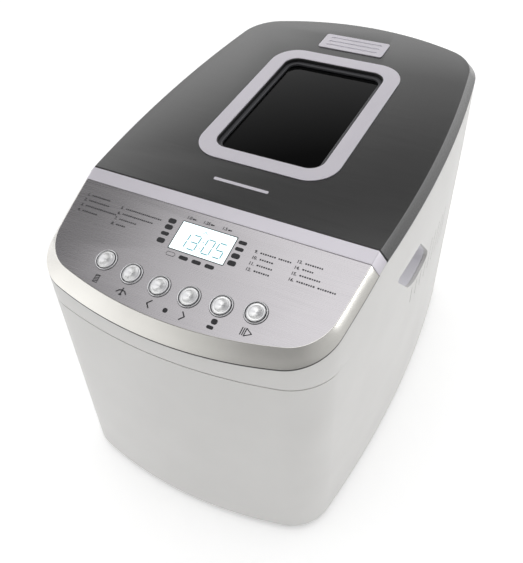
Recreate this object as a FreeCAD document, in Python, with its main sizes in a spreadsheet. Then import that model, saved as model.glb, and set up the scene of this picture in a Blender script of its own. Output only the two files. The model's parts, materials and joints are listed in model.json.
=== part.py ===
import FreeCAD, Part

# Horizontal bread machine for a 1.5 kg loaf, as an assembly of separate pieces.
#
# Frame: millimetres, +Z up, +Y from the control panel towards the hinge, +X to the right of someone
# facing the panel. The origin is on the table, under the middle of the plan.
#
# The plan outline has four shallow arcs (front, back, two sides) joined by round corners. Two sloping
# planes cut the top of the housing: a shallow one under the lid and a steeper one under the panel. They
# meet in a crease. The lid, the bridge trim and the control fascia stand on those planes with sloping
# sides all round.

import math
import os
import re

import Sketcher
from FreeCAD import Placement, Rotation, Vector

X_AXIS = Vector(1, 0, 0)
Y_AXIS = Vector(0, 1, 0)
Z_AXIS = Vector(0, 0, 1)

# cutting tools and trimming slabs run this far, well clear of the machine on every side
REACH = 400.0
HALF_REACH = 200.0
BEHIND = 300.0
SNUG = 0.05
IN_FRONT = -300.0
UNDERNEATH = -60.0
THROUGH = 30.0

# ---------------------------------------------------------------- driving dimensions

SIZES = {
    # plan outline of the housing at its top edge
    "half_width": 130.0,
    "half_depth": 197.75,
    "front_radius": 359.0,
    "side_radius": 1050.0,
    "back_radius": 251.5,
    "side_centre_y": -10.7,
    "front_corner": 40.0,
    "rear_corner": 45.5,
    # heights and slopes of the two top planes
    "foot_height": 5.0,
    "crease_y": -93.3,
    "crease_height": 242.8,
    "lid_slope": 0.0902,
    "panel_slope": 0.349,
    "cap_height": 7.8,
    "side_chamfer": 6.3,
    "front_chamfer": 10.2,
    # housing
    "wall": 3.0,
    "draft": 2.4,
    "draft_top": 200.0,
    "base_round": 4.0,
    "groove_height": 190.0,
    "groove_width": 0.7,
    "groove_depth": 0.7,
    "groove_end_y": -160.0,
    # side grips
    "grip_top": 204.0,
    "grip_bottom": 163.0,
    "grip_front": -67.0,
    "grip_length": 51.0,
    "grip_depth": 16.0,
    "grip_wall": 2.0,
    # louvres beside the grips
    "louvre_width": 1.3,
    "louvre_pitch": 12.0,
    "louvre_foot": 142.0,
    "louvre_first_y": -20.0,
    "louvre_count": 9,
    # base plate
    "base_gap": 0.4,
    "base_thickness": 3.0,
    "foot_x": 95.0,
    "foot_front_y": -140.0,
    "foot_rear_y": 145.0,
    "foot_radius": 11.0,
    "foot_stem": 4.0,
    "screw_radius": 1.5,
    "screw_head": 3.4,
    "screw_head_depth": 1.8,
    # oven chamber and its deck
    "chamber_y": 50.0,
    "chamber_half_x": 86.0,
    "chamber_half_y": 118.0,
    "chamber_corner": 18.0,
    "chamber_floor": 70.0,
    "sheet": 1.2,
    "deck_drop": 3.3,
    "deck_thickness": 2.5,
    "deck_lip": 4.5,
    # bread pan
    "pan_half_x": 60.0,
    "pan_half_y": 97.0,
    "pan_corner": 20.0,
    "pan_floor": 92.0,
    "pan_rim": 226.0,
    "pan_wall": 1.6,
    "pan_taper": 2.4,
    "rim_width": 4.0,
    "bail_radius": 2.0,
    "bail_height": 216.0,
    # heater
    "heater_height": 104.0,
    "heater_radius": 3.3,
    "heater_half_x": 76.0,
    "heater_half_y": 108.0,
    # drive train
    "shaft_spacing": 100.0,
    "shaft_radius": 4.0,
    "bore_radius": 4.05,
    "bush_radius": 7.0,
    "main_pulley": 45.0,
    "timing_pulley": 20.0,
    "motor_pulley": 9.0,
    "belt_gap": 0.3,
    "belt_thickness": 2.4,
    "main_belt_height": 25.0,
    "timing_belt_height": 40.0,
    "belt_width": 8.0,
    "frame_height": 52.0,
    "frame_thickness": 2.5,
    "motor_x": 52.0,
    "motor_y": -118.0,
    "motor_radius": 38.0,
    "motor_foot": 48.0,
    "motor_top": 108.0,
    "paddle_reach": 36.0,
    # lid
    "lid_gap": 0.8,
    "lid_front_y": -91.5,
    "lid_sheet": 1.2,
    "hinge_y": 187.0,
    "hinge_z": 265.0,
    "pin_radius": 1.8,
    "knuckle_radius": 3.6,
    "notch_half_x": 76.0,
    "notch_drop": 12.9,
    "cover_half_x": 74.0,
    "cover_drop": 10.0,
    # window, measured in the lid's own sloping plane from the crease
    "window_half_x": 62.0,
    "window_front": 48.0,
    "window_back": 223.4,
    "window_corner": 25.0,
    "window_border": 14.0,
    "window_inner_corner": 13.0,
    "bezel_proud": 1.0,
    "glass_depth": 5.2,
    "glass_thickness": 3.0,
    # steam vent, measured the same way
    "vent_half_x": 31.7,
    "vent_half_y": 12.4,
    "vent_middle": 248.0,
    "vent_slot_pitch": 6.6,
    # bridge trim between lid and panel
    "bridge_back_y": -92.7,
    "bridge_front_y": -104.0,
    "fascia_back_y": -104.6,
    "fascia_gap": 0.6,
    # control panel, measured in its own sloping plane from the crease
    "display_half_x": 23.0,
    "display_back": -21.8,
    "display_front": -46.4,
    "button_pitch": 24.69,
    "button_row": -77.1,
    "button_sag": 0.00148,
    "button_cap": 6.9,
    "ring_inner": 7.2,
    "ring_outer": 8.4,
    "button_hole": 8.9,
    "button_travel": 1.0,
    # mains inlet
    "gland_height": 45.0,
    "gland_bore": 3.6,
    "gland_barrel": 7.0,
    "gland_flange": 11.0,
}

doc = FreeCAD.newDocument("BreadMachine")
sheet = doc.addObject("Spreadsheet::Sheet", "Sizes")
for row, (alias, value) in enumerate(SIZES.items(), start=1):
    sheet.set(f"A{row}", alias.replace("_", " "))
    sheet.set(f"B{row}", str(value))
    sheet.setAlias(f"B{row}", alias)
doc.recompute()

PARTS = []
SHEET_WORD = re.compile(r"\b[a-z][a-z_]*\b(?!\()")


def size(alias):
    """Return one driving dimension, as the sheet holds it."""
    return float(sheet.get(alias))


def linked(text):
    """Return an expression in which each alias names its cell in the sheet."""
    return SHEET_WORD.sub(lambda found: f"Sizes.{found.group(0)}", str(text))


def number(text):
    """Return the present value of an expression."""
    value = sheet.evalExpression(linked(text))
    return float(getattr(value, "Value", value))


def keep(thing, label):
    """Name a finished sub-part and put it on the list to be written."""
    thing.Label = label
    PARTS.append(thing)
    return thing


# ---------------------------------------------------------------- sketches and features


def new_body(name):
    """Start a PartDesign body."""
    return doc.addObject("PartDesign::Body", name)


def new_sketch(body, role="XY_Plane", height="0"):
    """Attach a sketch to one of its body's origin planes, raised by an expression."""
    plane = [item for item in body.Origin.OriginFeatures if item.Role == role][0]
    sketch = body.newObject("Sketcher::SketchObject", f"{body.Name}_sketch")
    sketch.AttachmentSupport = [(plane, "")]
    sketch.MapMode = "FlatFace"
    sketch.setExpression("AttachmentOffset.Base.z", linked(height))
    return sketch


def pin(sketch, item, point, across, along):
    """Hold one point of a sketch at two expressions, measured from the sketch's origin."""
    first = sketch.addConstraint(Sketcher.Constraint("DistanceX", -1, 1, item, point, number(across)))
    sketch.setExpression(f"Constraints[{first}]", linked(across))
    second = sketch.addConstraint(Sketcher.Constraint("DistanceY", -1, 1, item, point, number(along)))
    sketch.setExpression(f"Constraints[{second}]", linked(along))


def circle(sketch, across, along, radius):
    """Add a circle with its centre and radius bound to expressions."""
    centre = Vector(number(across), number(along), 0)
    item = sketch.addGeometry(Part.Circle(centre, Z_AXIS, number(radius)), False)
    pin(sketch, item, 3, across, along)
    limit = sketch.addConstraint(Sketcher.Constraint("Radius", item, number(radius)))
    sketch.setExpression(f"Constraints[{limit}]", linked(radius))


def polygon(sketch, corners):
    """Add a closed outline of straight edges whose corners are expressions."""
    points = [Vector(number(across), number(along), 0) for across, along in corners]
    items = []
    for start, end in zip(points, points[1:] + points[:1]):
        items.append(sketch.addGeometry(Part.LineSegment(start, end), False))
    for item, after in zip(items, items[1:] + items[:1]):
        sketch.addConstraint(Sketcher.Constraint("Coincident", item, 2, after, 1))
    for item, (across, along) in zip(items, corners):
        pin(sketch, item, 1, across, along)


def rectangle(sketch, left, right, low, high):
    """Add a rectangle between four expressions."""
    polygon(sketch, [(left, low), (right, low), (right, high), (left, high)])


def rounded_rectangle(sketch, left, right, low, high, corner):
    """Add a rectangle with round corners: four lines, four tangent arcs."""
    x0, x1, y0, y1, r = (number(text) for text in (left, right, low, high, corner))
    quarter = math.pi / 2
    centres = [(x1 - r, y0 + r, -1), (x1 - r, y1 - r, 0), (x0 + r, y1 - r, 1), (x0 + r, y0 + r, 2)]
    arcs = []
    for across, along, turn in centres:
        shape = Part.ArcOfCircle(
            Part.Circle(Vector(across, along, 0), Z_AXIS, r), turn * quarter, (turn + 1) * quarter
        )
        arcs.append(sketch.addGeometry(shape, False))
    edges = [
        (x0 + r, y0, x1 - r, y0),
        (x1, y0 + r, x1, y1 - r),
        (x1 - r, y1, x0 + r, y1),
        (x0, y1 - r, x0, y0 + r),
    ]
    lines = []
    for ax, ay, bx, by in edges:
        lines.append(sketch.addGeometry(Part.LineSegment(Vector(ax, ay, 0), Vector(bx, by, 0)), False))
    for index in range(4):
        sketch.addConstraint(Sketcher.Constraint("Tangent", lines[index], 2, arcs[index], 1))
        sketch.addConstraint(Sketcher.Constraint("Tangent", arcs[index], 2, lines[(index + 1) % 4], 1))
    pin(sketch, arcs[0], 3, f"({right}) - ({corner})", f"({low}) + ({corner})")
    pin(sketch, arcs[2], 3, f"({left}) + ({corner})", f"({high}) - ({corner})")
    for arc in arcs:
        limit = sketch.addConstraint(Sketcher.Constraint("Radius", arc, r))
        sketch.setExpression(f"Constraints[{limit}]", linked(corner))


def pad(body, sketch, length):
    """Raise a sketch into a solid."""
    feature = body.newObject("PartDesign::Pad", f"{body.Name}_pad")
    feature.Profile = sketch
    feature.setExpression("Length", linked(length))
    doc.recompute()
    return feature


def pocket(body, sketch, depth=None, both=False):
    """Cut a sketch out of the body, to a depth or right through, and check that it cut something."""
    before = body.Shape.Volume
    feature = body.newObject("PartDesign::Pocket", f"{body.Name}_pocket")
    feature.Profile = sketch
    if both:
        feature.Midplane = True
    if depth is None:
        feature.Type = 1
    else:
        feature.setExpression("Length", linked(depth))
    doc.recompute()
    if body.Shape.Volume >= before - 1e-6:
        feature.Reversed = True
        doc.recompute()
    if body.Shape.Volume >= before - 1e-6:
        raise RuntimeError(f"{feature.Name} removed nothing")
    return feature


def turned(name, profile, centre_x="0", centre_y="0"):
    """Revolve a closed profile of (radius, height) corners about a vertical axis."""
    body = new_body(name)
    sketch = new_sketch(body, "XZ_Plane")
    polygon(sketch, profile)
    feature = body.newObject("PartDesign::Revolution", f"{name}_revolution")
    feature.Profile = sketch
    feature.ReferenceAxis = (sketch, ["V_Axis"])
    feature.Angle = 360.0
    body.setExpression("Placement.Base.x", linked(centre_x))
    body.setExpression("Placement.Base.y", linked(centre_y))
    doc.recompute()
    return body


def block(name, left, right, front, back, low, high):
    """Make a box between six expressions."""
    item = doc.addObject("Part::Box", name)
    item.setExpression("Length", linked(f"({right}) - ({left})"))
    item.setExpression("Width", linked(f"({back}) - ({front})"))
    item.setExpression("Height", linked(f"({high}) - ({low})"))
    item.setExpression("Placement.Base.x", linked(left))
    item.setExpression("Placement.Base.y", linked(front))
    item.setExpression("Placement.Base.z", linked(low))
    return item


def rod(name, radius, length, x="0", y="0", z="0", direction=None):
    """Make a cylinder that starts at a point and runs up, or along the direction given."""
    item = doc.addObject("Part::Cylinder", name)
    item.setExpression("Radius", linked(radius))
    item.setExpression("Height", linked(length))
    if direction is not None:
        item.Placement = Placement(Vector(), Rotation(Z_AXIS, direction))
    item.setExpression("Placement.Base.x", linked(x))
    item.setExpression("Placement.Base.y", linked(y))
    item.setExpression("Placement.Base.z", linked(z))
    return item


def fuse(name, items):
    """Join primitives into one solid."""
    result = doc.addObject("Part::MultiFuse", name)
    result.Shapes = items
    result.Refine = True
    return result


def cut(name, base, tool):
    """Take one solid away from another."""
    result = doc.addObject("Part::Cut", name)
    result.Base = base
    result.Tool = tool
    result.Refine = True
    return result


def group(name, items):
    """Hold several identical pieces together as separate solids."""
    result = doc.addObject("Part::Compound", name)
    result.Links = items
    return result


def free_form(name, shape):
    """Hold a shape that Part's own functions made."""
    item = doc.addObject("Part::Feature", name)
    item.Shape = shape
    return item


# ---------------------------------------------------------------- the sloping planes


def tilt(item, slope, rise="cap_height"):
    """Stand a piece that was drawn flat on one of the sloping top planes."""
    item.Placement = Placement(Vector(0, -1, 1), Rotation(X_AXIS, 10))
    item.setExpression("Placement.Rotation.Angle", f"atan({linked(slope)})")
    item.setExpression("Placement.Base.y", linked("crease_y"))
    item.setExpression("Placement.Base.z", linked(f"crease_height + {rise}"))
    return item


def arc_edge(centre, radius, start, end):
    """Return an arc in the plan, anticlockwise between two angles."""
    whole = Part.Circle(Vector(centre[0], centre[1], 0), Z_AXIS, radius)
    return Part.ArcOfCircle(whole, start, end).toShape()


def corner_centre(first, first_radius, second, second_radius, corner, rear):
    """Return the centre of a round corner that touches two arcs from inside, on the right."""
    apart = math.dist(first, second)
    reach = first_radius - corner
    other = second_radius - corner
    along = (apart**2 + reach**2 - other**2) / (2 * apart)
    aside = math.sqrt(reach**2 - along**2)
    ux = (second[0] - first[0]) / apart
    uy = (second[1] - first[1]) / apart
    for sign in (1, -1):
        x = first[0] + ux * along - sign * uy * aside
        y = first[1] + uy * along + sign * ux * aside
        if x > 0 and (y > second[1]) == rear:
            return (x, y)
    raise RuntimeError("the corner arcs do not meet")


def outline_wire(side, front=None, back=None, height=0.0):
    """Return the plan outline moved inwards by the distances given, at a height."""
    front = side if front is None else front
    back = side if back is None else back
    front_r = size("front_radius") - front
    back_r = size("back_radius") - back
    side_r = size("side_radius") - side
    front_corner = size("front_corner") - side
    rear_corner = size("rear_corner") - side
    front_c = (0.0, size("front_radius") - size("half_depth"))
    back_c = (0.0, size("half_depth") - size("back_radius"))
    side_c = (size("half_width") - size("side_radius"), size("side_centre_y"))
    near = corner_centre(front_c, front_r, side_c, side_r, front_corner, False)
    far = corner_centre(back_c, back_r, side_c, side_r, rear_corner, True)

    def bearing(origin, target):
        return math.atan2(target[1] - origin[1], target[0] - origin[0])

    a_front = bearing(front_c, near)
    a_near = bearing(side_c, near)
    a_far = bearing(side_c, far)
    a_back = bearing(back_c, far)
    right = [
        (near, front_corner, a_front, a_near),
        (side_c, side_r, a_near, a_far),
        (far, rear_corner, a_far, a_back),
    ]
    edges = [arc_edge(front_c, front_r, -math.pi - a_front, a_front)]
    edges += [arc_edge(*piece) for piece in right]
    edges.append(arc_edge(back_c, back_r, a_back, math.pi - a_back))
    for centre, radius, start, end in reversed(right):
        edges.append(arc_edge((-centre[0], centre[1]), radius, math.pi - end, math.pi - start))
    wire = Part.Wire(Part.__sortEdges__(edges))
    wire.translate(Vector(0, 0, height))
    return wire


def column(side, low, high, front=None, back=None):
    """Return a straight-sided solid over the plan outline."""
    return Part.Face(outline_wire(side, front, back, low)).extrude(Vector(0, 0, high - low))


def slab_of(front_y, back_y, low=0.0, high=REACH):
    """Return a wide box between two depths."""
    return Part.makeBox(REACH, back_y - front_y, high - low, Vector(-HALF_REACH, front_y, low))


def under_plane(slope, rise, front_y=IN_FRONT, back_y=BEHIND):
    """Return everything below one sloping plane raised by a height, between two depths."""
    crease = size("crease_y")
    height = size("crease_height") + rise
    start = Vector(-HALF_REACH, front_y, UNDERNEATH)
    front_top = Vector(-HALF_REACH, front_y, height + slope * (front_y - crease))
    back_top = Vector(-HALF_REACH, back_y, height + slope * (back_y - crease))
    foot = Vector(-HALF_REACH, back_y, UNDERNEATH)
    profile = Part.makePolygon([start, foot, back_top, front_top, start])
    return Part.Face(profile).extrude(Vector(REACH, 0, 0))


def section_wire(side, slope, rise, front_y, back_y, front=None):
    """Return the plan outline projected on a sloping plane, clipped between two depths."""
    span = 2 * REACH
    plane = Part.makePlane(span, span, Vector(-REACH, -REACH, 0))
    angle = math.degrees(math.atan(slope))
    height = size("crease_height") + rise
    plane.Placement = Placement(Vector(0, size("crease_y"), height), Rotation(X_AXIS, angle))
    face = plane.common(column(side, 0, REACH, front)).common(slab_of(front_y, back_y))
    return face.Faces[0].OuterWire


def sloping_inset(run, low_rise, level, thickness):
    """Return how far a sloping side lies inside the outline at a level, for its outer or inner face."""
    climb = size("cap_height") - low_rise
    return run * (level - low_rise) / climb + thickness * math.hypot(1, run / climb)


def capped_form(slope, front_y, back_y, low_rise, thickness=0.0, start=None):
    """Return the sloping-sided form that stands on a top plane, or the hollow inside its sheet."""
    side = size("side_chamfer")
    end = size("front_chamfer") if slope == size("panel_slope") else side
    levels = [low_rise if start is None else start, size("cap_height") - thickness]
    wires = []
    for level in levels:
        aside = sloping_inset(side, low_rise, level, thickness)
        ahead = sloping_inset(end, low_rise, level, thickness)
        wires.append(section_wire(aside, slope, level, front_y, back_y, front=ahead))
    return Part.makeLoft(wires, True, True)


# ---------------------------------------------------------------- housing


def grip_outline(margin, x):
    """Return the leaning, round-cornered outline of a side grip, at a distance across."""
    top = size("grip_top") + margin
    bottom = size("grip_bottom") - margin
    front = size("grip_front") - margin * 1.4
    length = size("grip_length") + margin * 1.6
    lean = top - bottom
    points = [
        Vector(x, front, top),
        Vector(x, front + length, top),
        Vector(x, front + length + lean, bottom),
        Vector(x, front + lean, bottom),
    ]
    radii = [3.0, 4.0, 6.0, 40.0]
    return rounded_path(points, radii, closed=True)


def rounded_path(points, radii, closed=False):
    """Join points by straight runs with a tangent arc at each corner."""
    count = len(points)
    edges = []
    last = None
    first = None
    for index, (point, radius) in enumerate(zip(points, radii)):
        if not closed and index in (0, count - 1):
            if last is not None:
                edges.append(Part.LineSegment(last, point).toShape())
            last = point
            continue
        before = (points[index - 1] - point).normalize()
        after = (points[(index + 1) % count] - point).normalize()
        half = before.getAngle(after) / 2
        setback = radius / math.tan(half)
        start = point + before * setback
        end = point + after * setback
        middle_way = (before + after).normalize()
        middle = point + middle_way * (radius / math.sin(half) - radius)
        if last is not None:
            edges.append(Part.LineSegment(last, start).toShape())
        else:
            first = start
        edges.append(Part.Arc(start, middle, end).toShape())
        last = end
    if closed:
        edges.append(Part.LineSegment(last, first).toShape())
    return Part.Wire(edges)


def pipe(path, start, direction, radius):
    """Sweep a round section along a path."""
    section = Part.Wire(Part.Circle(start, direction, radius).toShape())
    return path.makePipeShell([section], True, False)


BOSSES = [(114.0, -118.0), (119.5, -10.0), (112.0, 118.0)]
BOSS_RADIUS = 6.5
BOSS_TOP = 40.0
BOSS_FOOT = 9.0
BOSS_BORE_DEPTH = 13.0


def build_body_shell():
    """White moulded housing: drafted wall ring with grips, louvres, inlet hole and screw bosses."""
    low, bend, high = size("foot_height"), size("draft_top"), BEHIND
    wall, draft = size("wall"), size("draft")
    outer_low = Part.makeLoft([outline_wire(draft, height=low), outline_wire(0, height=bend)], True, True)
    base_edges = [edge for edge in outer_low.Edges if edge.BoundBox.ZMax < low + 0.01]
    outer = outer_low.makeFillet(size("base_round"), base_edges).fuse(column(0, bend, high))
    inner_wires = [outline_wire(draft + wall, height=low - 1), outline_wire(wall, height=bend)]
    inner_low = Part.makeLoft(inner_wires, True, True)
    inner = inner_low.fuse(column(wall, bend, high + 1))
    ring = outer.cut(inner)
    bosses = []
    for x, y in BOSSES:
        for side in (1, -1):
            boss = Part.makeCylinder(BOSS_RADIUS, BOSS_TOP - BOSS_FOOT, Vector(side * x, y, BOSS_FOOT))
            bosses.append(boss.common(outer_low))
    shell = ring.fuse(bosses)
    for x, y in BOSSES:
        for side in (1, -1):
            start = Vector(side * x, y, BOSS_FOOT - 1)
            hole = Part.makeCylinder(size("screw_radius") + SNUG, BOSS_BORE_DEPTH + 1, start)
            shell = shell.cut(hole)
    crease = size("crease_y")
    below = under_plane(size("lid_slope"), 0.0).common(slab_of(crease, BEHIND, UNDERNEATH))
    under_panel = under_plane(size("panel_slope"), 0.0).common(slab_of(IN_FRONT, crease, UNDERNEATH))
    below = below.fuse(under_panel)
    shell = shell.common(below)
    # the hinge notch in the back edge
    notch_low = size("hinge_z") - size("notch_drop")
    notch_front = 160.0
    half = size("notch_half_x")
    notch = Part.makeBox(2 * half, REACH, REACH, Vector(-half, notch_front, notch_low))
    shell = shell.cut(notch)
    # the parting groove round the front
    deep = size("groove_depth")
    belt = column(-2, size("groove_height"), size("groove_height") + size("groove_width"))
    belt = belt.cut(column(deep, 0, REACH)).common(slab_of(IN_FRONT, size("groove_end_y")))
    shell = shell.cut(belt)
    # grips and louvres, both sides
    for side in (1, -1):
        opening = Part.Face(grip_outline(0, side * 100)).extrude(Vector(side * 40, 0, 0))
        shell = shell.cut(opening)
        for y, foot, head in louvres():
            slot = Part.makeBox(20, size("louvre_width"), head - foot, Vector(-10 + side * 128, y, foot))
            shell = shell.cut(slot)
    hole = Part.makeCylinder(size("gland_barrel") + 0.2, 40, Vector(0, 170, size("gland_height")), Y_AXIS)
    shell = shell.cut(hole)
    return keep(free_form("body_shell", shell.removeSplitter()), "body_shell")


def louvres():
    """Return the depth, foot and head of each upright cooling slot, clear of the grip."""
    slots = []
    for index in range(int(size("louvre_count"))):
        y = size("louvre_first_y") + index * size("louvre_pitch")
        clear_of_grip = y > size("grip_front") + size("grip_length") + 44
        head = size("grip_bottom") + (14 if clear_of_grip else -3.5)
        slots.append((y, size("louvre_foot"), head))
    return slots


def build_grip_cups():
    """Two grey scoops that close the grip openings from inside."""
    cups = []
    margin = size("grip_wall")
    reach = size("half_width") - size("wall") - 0.6
    for side in (1, -1):
        back = reach - size("grip_depth")
        solid = Part.Face(grip_outline(margin, side * back)).extrude(Vector(side * size("grip_depth"), 0, 0))
        hollow = Part.Face(grip_outline(0, side * (back + margin))).extrude(Vector(side * 40, 0, 0))
        trimmed = solid.common(column(size("wall") + 0.7, 0, REACH))
        cups.append(trimmed.cut(hollow))
    return keep(free_form("grip_cups", Part.makeCompound(cups)), "grip_cups")


def build_base_plate():
    """Bottom plate with feet sockets, bush sockets and rows of cooling slots."""
    low = size("foot_height")
    thick = size("base_thickness")
    inset = size("draft") + size("wall") + size("base_gap")
    plate = column(inset, low, low + thick)
    for x, y in drive_centres():
        start = Vector(x, y, low + thick)
        socket_radius, socket_height = 11.0, 10.0
        plate = plate.fuse(Part.makeCylinder(socket_radius, socket_height, start))
        plate = plate.cut(Part.makeCylinder(size("bush_radius") + 0.02, socket_height + 2, start))
    for x, y in foot_places():
        plate = plate.cut(Part.makeCylinder(size("foot_stem") + 0.05, 10, Vector(x, y, low - 1)))
    for x, y in BOSSES:
        for side in (1, -1):
            start = Vector(side * x, y, low - 1)
            plate = plate.cut(Part.makeCylinder(size("screw_radius") + 0.2, thick + 2, start))
            sink = size("screw_head_depth") + 1
            plate = plate.cut(Part.makeCylinder(size("screw_head") + 0.3, sink, start))
    for row in range(7):
        for column_x in (-66, 30):
            slot = Part.makeBox(36, 3, 10, Vector(column_x, -76 + row * 7, low - 1))
            plate = plate.cut(slot)
    return keep(free_form("base_plate", plate.removeSplitter()), "base_plate")


def drive_centres():
    """Return the two upright drive axes in the plan."""
    return [(0.0, 0.0), (0.0, size("shaft_spacing"))]


def foot_places():
    """Return the four feet in the plan."""
    x = size("foot_x")
    return [(sx * x, y) for sx in (1, -1) for y in (size("foot_front_y"), size("foot_rear_y"))]


def build_feet():
    """Four tapered rubber feet with stems pressed into the base plate."""
    feet = []
    corners = [(1, "foot_front_y"), (-1, "foot_front_y"), (1, "foot_rear_y"), (-1, "foot_rear_y")]
    for index, (sign, y) in enumerate(corners):
        pad_part = doc.addObject("Part::Cone", f"foot_pad_{index}")
        pad_part.setExpression("Radius1", linked("foot_radius - 1.5"))
        pad_part.setExpression("Radius2", linked("foot_radius"))
        pad_part.setExpression("Height", linked("foot_height"))
        pad_part.setExpression("Placement.Base.x", linked(f"{sign} * foot_x"))
        pad_part.setExpression("Placement.Base.y", linked(y))
        stem = rod(f"foot_stem_{index}", "foot_stem", "base_thickness + 1.5", f"{sign} * foot_x", y, "foot_height")
        feet.append(fuse(f"foot_{index}", [pad_part, stem]))
    return keep(group("rubber_feet", feet), "rubber_feet")


def build_base_screws():
    """Six countersunk-depth screws that hold the base plate to the housing's bosses."""
    screws = []
    for index, (x, y) in enumerate([(s * x, y) for x, y in BOSSES for s in (1, -1)]):
        head = rod(f"base_head_{index}", "screw_head", "screw_head_depth - 0.3", x, y, "foot_height + 0.2")
        shank = rod(f"base_shank_{index}", "screw_radius", "14", x, y, "foot_height + 1")
        screws.append(fuse(f"base_screw_{index}", [head, shank]))
    return keep(group("base_screws", screws), "base_screws")


def build_bridge_trim():
    """Silver strip across the housing between the lid and the control fascia."""
    slope = size("panel_slope")
    front, back = size("bridge_front_y"), size("bridge_back_y")
    lift, thick = 0.2, 2.6
    outer = capped_form(slope, front, back, lift)
    inner = capped_form(slope, front - 10, back + 10, lift, thickness=thick, start=-3.0)
    return keep(free_form("bridge_trim", outer.cut(inner)), "bridge_trim")


def build_deck():
    """Plastic deck inside the rim of the housing, with the mouth of the oven chamber."""
    slope = size("lid_slope")
    drop = size("deck_drop")
    front = size("bridge_back_y") + 1.6
    low = 100
    ring = column(size("wall") + 0.3, low, REACH).common(slab_of(front, BEHIND, low))
    plate = ring.common(under_plane(slope, -drop)).cut(under_plane(slope, -drop - size("deck_thickness")))
    lip = size("deck_lip")
    mouth = mouth_column(size("sheet") + lip)
    plate = plate.cut(mouth)
    half = size("notch_half_x") + 4
    notch_front = 173.5
    plate = plate.cut(Part.makeBox(2 * half, REACH, REACH, Vector(-half, notch_front, 0)))
    return keep(free_form("chamber_deck", plate.removeSplitter()), "chamber_deck")


def mouth_column(inset, low=0.0, high=REACH):
    """Return the oven's rounded rectangle as a column, moved inwards."""
    half_x = size("chamber_half_x") - inset
    half_y = size("chamber_half_y") - inset
    corner = size("chamber_corner") - inset
    box = Part.makeBox(2 * half_x, 2 * half_y, high - low, Vector(-half_x, size("chamber_y") - half_y, low))
    uprights = [edge for edge in box.Edges if abs(edge.tangentAt(edge.FirstParameter).z) > 0.9]
    return box.makeFillet(corner, uprights)


# ---------------------------------------------------------------- oven, pan and heater


def build_chamber():
    """Sheet steel oven chamber with holes for the drives, the heater ends and the probe."""
    body = new_body("oven_chamber")
    outer = new_sketch(body, "XY_Plane", "chamber_floor")
    edges = ("chamber_y - chamber_half_y", "chamber_y + chamber_half_y", "chamber_corner")
    rounded_rectangle(outer, "-chamber_half_x", "chamber_half_x", *edges)
    pad(body, outer, "200")
    inner = new_sketch(body, "XY_Plane", "chamber_floor + sheet")
    rounded_rectangle(
        inner,
        "sheet - chamber_half_x",
        "chamber_half_x - sheet",
        "chamber_y - chamber_half_y + sheet",
        "chamber_y + chamber_half_y - sheet",
        "chamber_corner - sheet",
    )
    hollow = pocket(body, inner, "300")
    hollow.Reversed = True
    doc.recompute()
    trim = new_sketch(body, "YZ_Plane")
    drop = "deck_drop - deck_thickness - 0.3"
    front = f"crease_height - {drop} + lid_slope * (-100 - crease_y)"
    back = f"crease_height - {drop} + lid_slope * (200 - crease_y)"
    polygon(trim, [("-100", front), ("200", back), ("200", "400"), ("-100", "400")])
    pocket(body, trim, both=True)
    floor = new_sketch(body, "XY_Plane", "chamber_floor")
    circle(floor, "0", "0", "bush_radius + 2")
    circle(floor, "0", "shaft_spacing", "bush_radius + 2")
    pocket(body, floor, "4")
    front_wall = new_sketch(body, "XZ_Plane", "chamber_half_y - chamber_y")
    for x in HEATER_ENDS:
        circle(front_wall, x, "heater_height", "heater_radius + 0.4")
    circle(front_wall, PROBE_X, PROBE_HEIGHT, "2.9")
    pocket(body, front_wall, "6")
    return keep(body, "oven_chamber")


HEATER_ENDS = (-34, -10)
PROBE_X = -60
PROBE_HEIGHT = 180


def build_heater():
    """Tubular heating element: an open loop round the pan with both ends out through the front wall."""
    z = size("heater_height")
    x, near = size("heater_half_x"), size("chamber_y") - size("heater_half_y")
    far = size("chamber_y") + size("heater_half_y")
    left, right = HEATER_ENDS
    out = -84.0
    points = [
        Vector(right, out, z),
        Vector(right, near, z),
        Vector(x, near, z),
        Vector(x, far, z),
        Vector(-x, far, z),
        Vector(-x, near, z),
        Vector(left, near, z),
        Vector(left, out, z),
    ]
    path = rounded_path(points, [0, 8, 24, 24, 24, 24, 8, 0])
    tube = pipe(path, points[0], Y_AXIS, size("heater_radius"))
    pieces = [free_form("heater_tube", tube)]
    for index, end in enumerate(HEATER_ENDS):
        pieces.append(rod(f"heater_end_{index}", "4.2", "11", end, "-95.2", "heater_height", Y_AXIS))
    return keep(fuse("heater", pieces), "heating_element")


def build_probe():
    """Temperature probe: a rod through the front wall of the chamber with a fixing flange."""
    stem = rod("probe_stem", "2.5", "24", PROBE_X, "-82.5", PROBE_HEIGHT, Y_AXIS)
    flange = rod("probe_flange", "6", "2", PROBE_X, "chamber_y - chamber_half_y - 2.3", PROBE_HEIGHT, Y_AXIS)
    return keep(fuse("probe", [stem, flange]), "temperature_probe")


def pan_outline(sketch, widen, offset):
    """Draw the pan's rounded rectangle, widened by its taper and moved by an offset."""
    half_x = f"pan_half_x + {widen} + {offset}"
    half_y = f"pan_half_y + {widen} + {offset}"
    rounded_rectangle(
        sketch,
        f"-({half_x})",
        half_x,
        f"chamber_y - ({half_y})",
        f"chamber_y + {half_y}",
        f"pan_corner + {offset}",
    )


def pan_section(body, height, widen, offset):
    """Return a sketch of the pan's outline at a height."""
    sketch = new_sketch(body, "XY_Plane", height)
    pan_outline(sketch, widen, offset)
    return sketch


def loft(body, kind, sections):
    """Add or remove a straight-sided loft between two sketches."""
    doc.recompute()
    feature = body.newObject(kind, f"{body.Name}_loft")
    feature.Profile = sections[0]
    feature.Sections = sections[1:]
    feature.Ruled = True
    doc.recompute()
    return feature


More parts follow.
